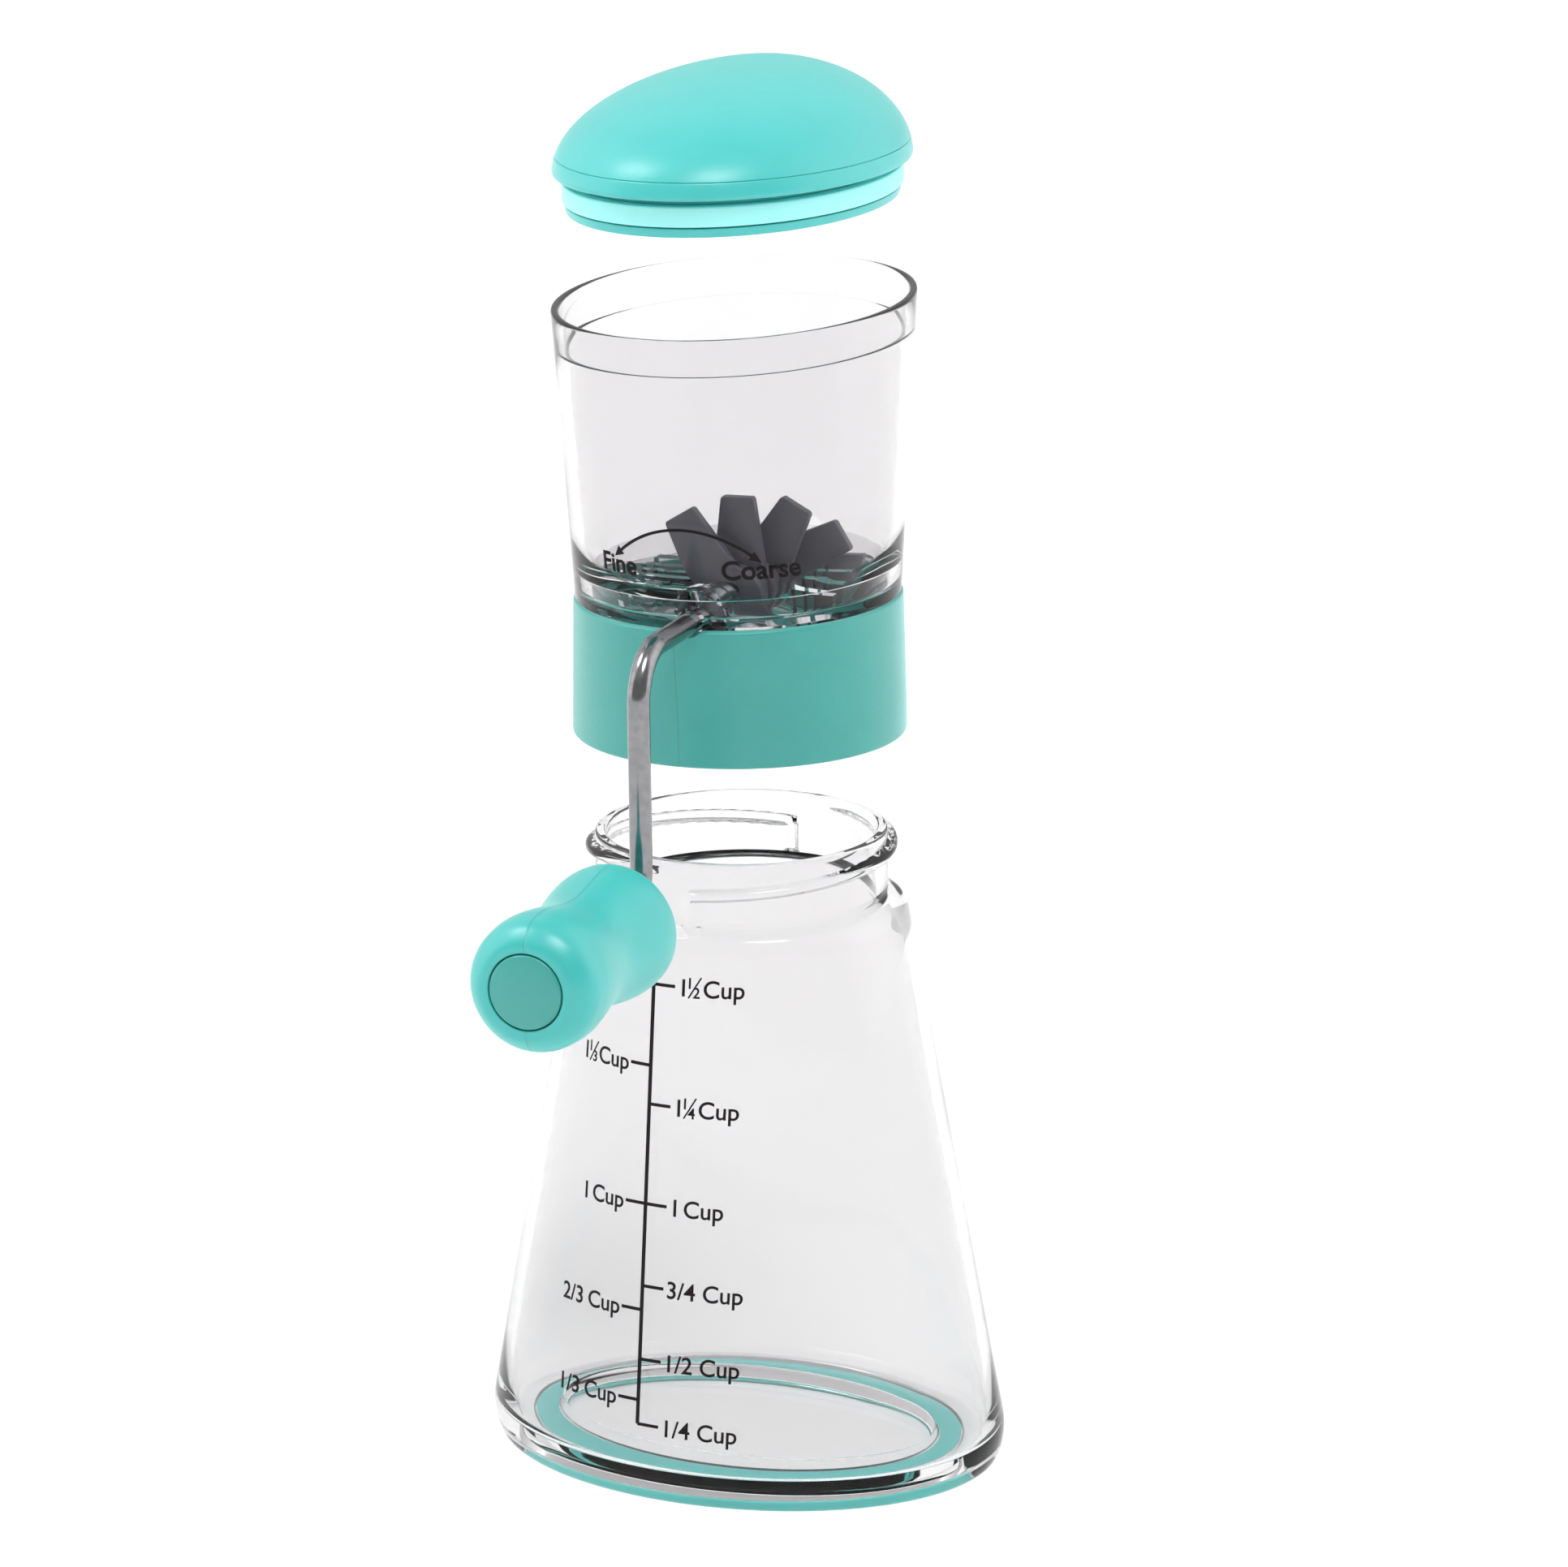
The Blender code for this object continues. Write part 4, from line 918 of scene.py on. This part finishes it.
def arrow_head(tip, direction, size):
    """A flat triangle that points along a direction."""
    side = (-direction[1], direction[0])
    back = (tip[0] - direction[0] * size, tip[1] - direction[1] * size)
    corners = [tip, (back[0] + side[0] * size * 0.42, back[1] + side[1] * size * 0.42),
               (back[0] - side[0] * size * 0.42, back[1] - side[1] * size * 0.42)]
    mesh = bpy.data.meshes.new("arrow")
    mesh.from_pydata([(x * MM, y * MM, 0.0) for x, y in corners], [], [(0, 1, 2)])
    return mesh


ARC_HALF, ARC_TOP, ARC_DROP, ARC_LINE = 13.0, 182.0, 5.5, 0.55
WORD_FOOT, WORD_SIZE, WORD_BOLD = 172.8, TEXT * 1.1, 0.11
arc = []
for k in range(41):
    part = -1.0 + 2.0 * k / 40
    arc.append((part * ARC_HALF, ARC_TOP - ARC_DROP * part * part))
cup_prints = [strip_mesh(arc, ARC_LINE)]
for end, near in ((arc[0], arc[2]), (arc[-1], arc[-3])):
    away = Vector(end) - Vector(near)
    away.normalize()
    cup_prints.append(arrow_head((end[0] + away.x * 1.2, end[1] + away.y * 1.2), away, 2.2))
for words, x in (("Fine", -17.4), ("Coarse", 6.6)):
    cup_prints.append(shifted(text_mesh(words, WORD_SIZE, WORD_BOLD), x, WORD_FOOT))
piece("hopper_print", wrap(cup_prints, cup_half, -math.pi / 2, SHAFT.x), INK, "hopper",
      HOPPER_PLACE)

# ---------------------------------------------------------------- floor, light and camera

VIEW_AZIMUTH, VIEW_ELEVATION, VIEW_DISTANCE = 26.16, 15.56, 1173.6
TARGET_Z = 117.4
LENS, ROLL = 147.9, math.radians(0.66)
AIM_RIGHT, AIM_UP = 7.75, 9.12
WORLD_STRENGTH = 0.93
# The light round the object, from straight behind it (0) to the camera's own side (1).
SIDE_LIGHT = ((0.0, 0.6), (0.35, 1.8), (0.55, 1.8), (0.66, 0.42), (1.0, 0.34))
TOP_LIGHT = 0.62
LAMPS = ((-95.0, 58.0, 9.0), (25.0, 62.0, 11.0))   # azimuth from the camera, elevation, power
LAMP_EDGE, LAMP_CORE = 0.972, 0.990                # cosines where a lamp starts and is full
FLOOR_RADIUS, FLOOR_DROP = 12.0, 0.0002            # metres


def make_camera():
    """The photo's view of the object. The direction from the object to it is returned."""
    azimuth, elevation = math.radians(VIEW_AZIMUTH), math.radians(VIEW_ELEVATION)
    back = Vector((math.sin(azimuth) * math.cos(elevation),
                   -math.cos(azimuth) * math.cos(elevation), math.sin(elevation)))
    flat_right = Vector((math.cos(azimuth), math.sin(azimuth), 0.0))
    flat_up = back.cross(flat_right)
    right = flat_right * math.cos(ROLL) - flat_up * math.sin(ROLL)
    up = flat_right * math.sin(ROLL) + flat_up * math.cos(ROLL)
    target = Vector((JAR_X, JAR_Y, TARGET_Z))
    eye = (target + back * VIEW_DISTANCE) * MM
    aim = (target + right * AIM_RIGHT + up * AIM_UP) * MM
    toward = (eye - aim).normalized()
    side = up.cross(toward).normalized()
    top = toward.cross(side)
    data = bpy.data.cameras.new("camera")
    data.lens = LENS
    data.clip_start = 0.05
    data.clip_end = 60.0
    camera = bpy.data.objects.new("camera", data)
    bpy.context.scene.collection.objects.link(camera)
    camera.matrix_world = Matrix((
        (side.x, top.x, toward.x, eye.x), (side.y, top.y, toward.y, eye.y),
        (side.z, top.z, toward.z, eye.z), (0.0, 0.0, 0.0, 1.0)))
    bpy.context.scene.camera = camera
    return back


def make_floor():
    """A plain pale disc under the object."""
    made, tree, shader = new_material("floor")
    where = object_coordinates(tree)
    soft = noise(tree, where, 3.0, 2.0)
    tree.links.new(ramp(tree, soft, [(0.3, grey(0.93)), (0.7, grey(0.95))]),
                   shader.inputs["Base Color"])
    shader.inputs["Roughness"].default_value = 0.9
    shader.inputs["Specular IOR Level"].default_value = 0.0
    mesh = bpy.data.meshes.new("floor")
    bm = bmesh.new()
    bmesh.ops.create_circle(bm, cap_ends=True, segments=96, radius=FLOOR_RADIUS)
    bm.to_mesh(mesh)
    bm.free()
    mesh.materials.append(made)
    floor = bpy.data.objects.new("floor", mesh)
    bpy.context.scene.collection.objects.link(floor)
    floor.location.z = -FLOOR_DROP


def studio_direction(azimuth, elevation):
    """A direction from the object, its azimuth counted rightwards from the camera's."""
    around, up = math.radians(VIEW_AZIMUTH + azimuth), math.radians(elevation)
    return Vector((math.sin(around) * math.cos(up), -math.cos(around) * math.cos(up),
                   math.sin(up)))


def facing(tree, where, direction):
    """How far each direction of view points along another, from -1 to 1."""
    made = node(tree, "ShaderNodeVectorMath", operation="DOT_PRODUCT")
    tree.links.new(where, made.inputs[0])
    made.inputs[1].default_value = direction
    return made.outputs["Value"]


def make_world(toward_camera):
    """A white studio: soft light above and at both sides, and a dim photographer's side."""
    world = bpy.data.worlds.new("studio")
    bpy.context.scene.world = world
    world.use_nodes = True
    tree = world.node_tree
    background = tree.nodes["Background"]
    where = node(tree, "ShaderNodeTexCoord").outputs["Generated"]
    camera_side = facing(tree, where, Vector((toward_camera.x, toward_camera.y, 0.0)).normalized())
    around = ramp(tree, map_range(tree, camera_side, 0.0, 1.0, (-1.0, 1.0)),
                  [(position, grey(level)) for position, level in SIDE_LIGHT])
    height = node(tree, "ShaderNodeSeparateXYZ")
    tree.links.new(where, height.inputs[0])
    above = ramp(tree, height.outputs["Z"], [(0.5, grey(0.0)), (0.9, grey(1.0))])
    mix = node(tree, "ShaderNodeMix", data_type="RGBA")
    tree.links.new(above, mix.inputs["Factor"])
    tree.links.new(around, mix.inputs[6])
    mix.inputs[7].default_value = (*grey(TOP_LIGHT), 1.0)
    light = mix.outputs[2]
    for azimuth, elevation, power in LAMPS:
        lamp = facing(tree, where, studio_direction(azimuth, elevation))
        glow = ramp(tree, lamp, [(LAMP_EDGE, grey(0.0)), (LAMP_CORE, grey(power)),
                                 (1.0, grey(power))])
        both = node(tree, "ShaderNodeMix", data_type="RGBA", blend_type="ADD")
        both.inputs["Factor"].default_value = 1.0
        tree.links.new(light, both.inputs[6])
        tree.links.new(glow, both.inputs[7])
        light = both.outputs[2]
    tree.links.new(light, background.inputs["Color"])
    background.inputs["Strength"].default_value = WORLD_STRENGTH


toward_camera = make_camera()
make_floor()
make_world(toward_camera)
bpy.context.scene.view_settings.view_transform = "Standard"
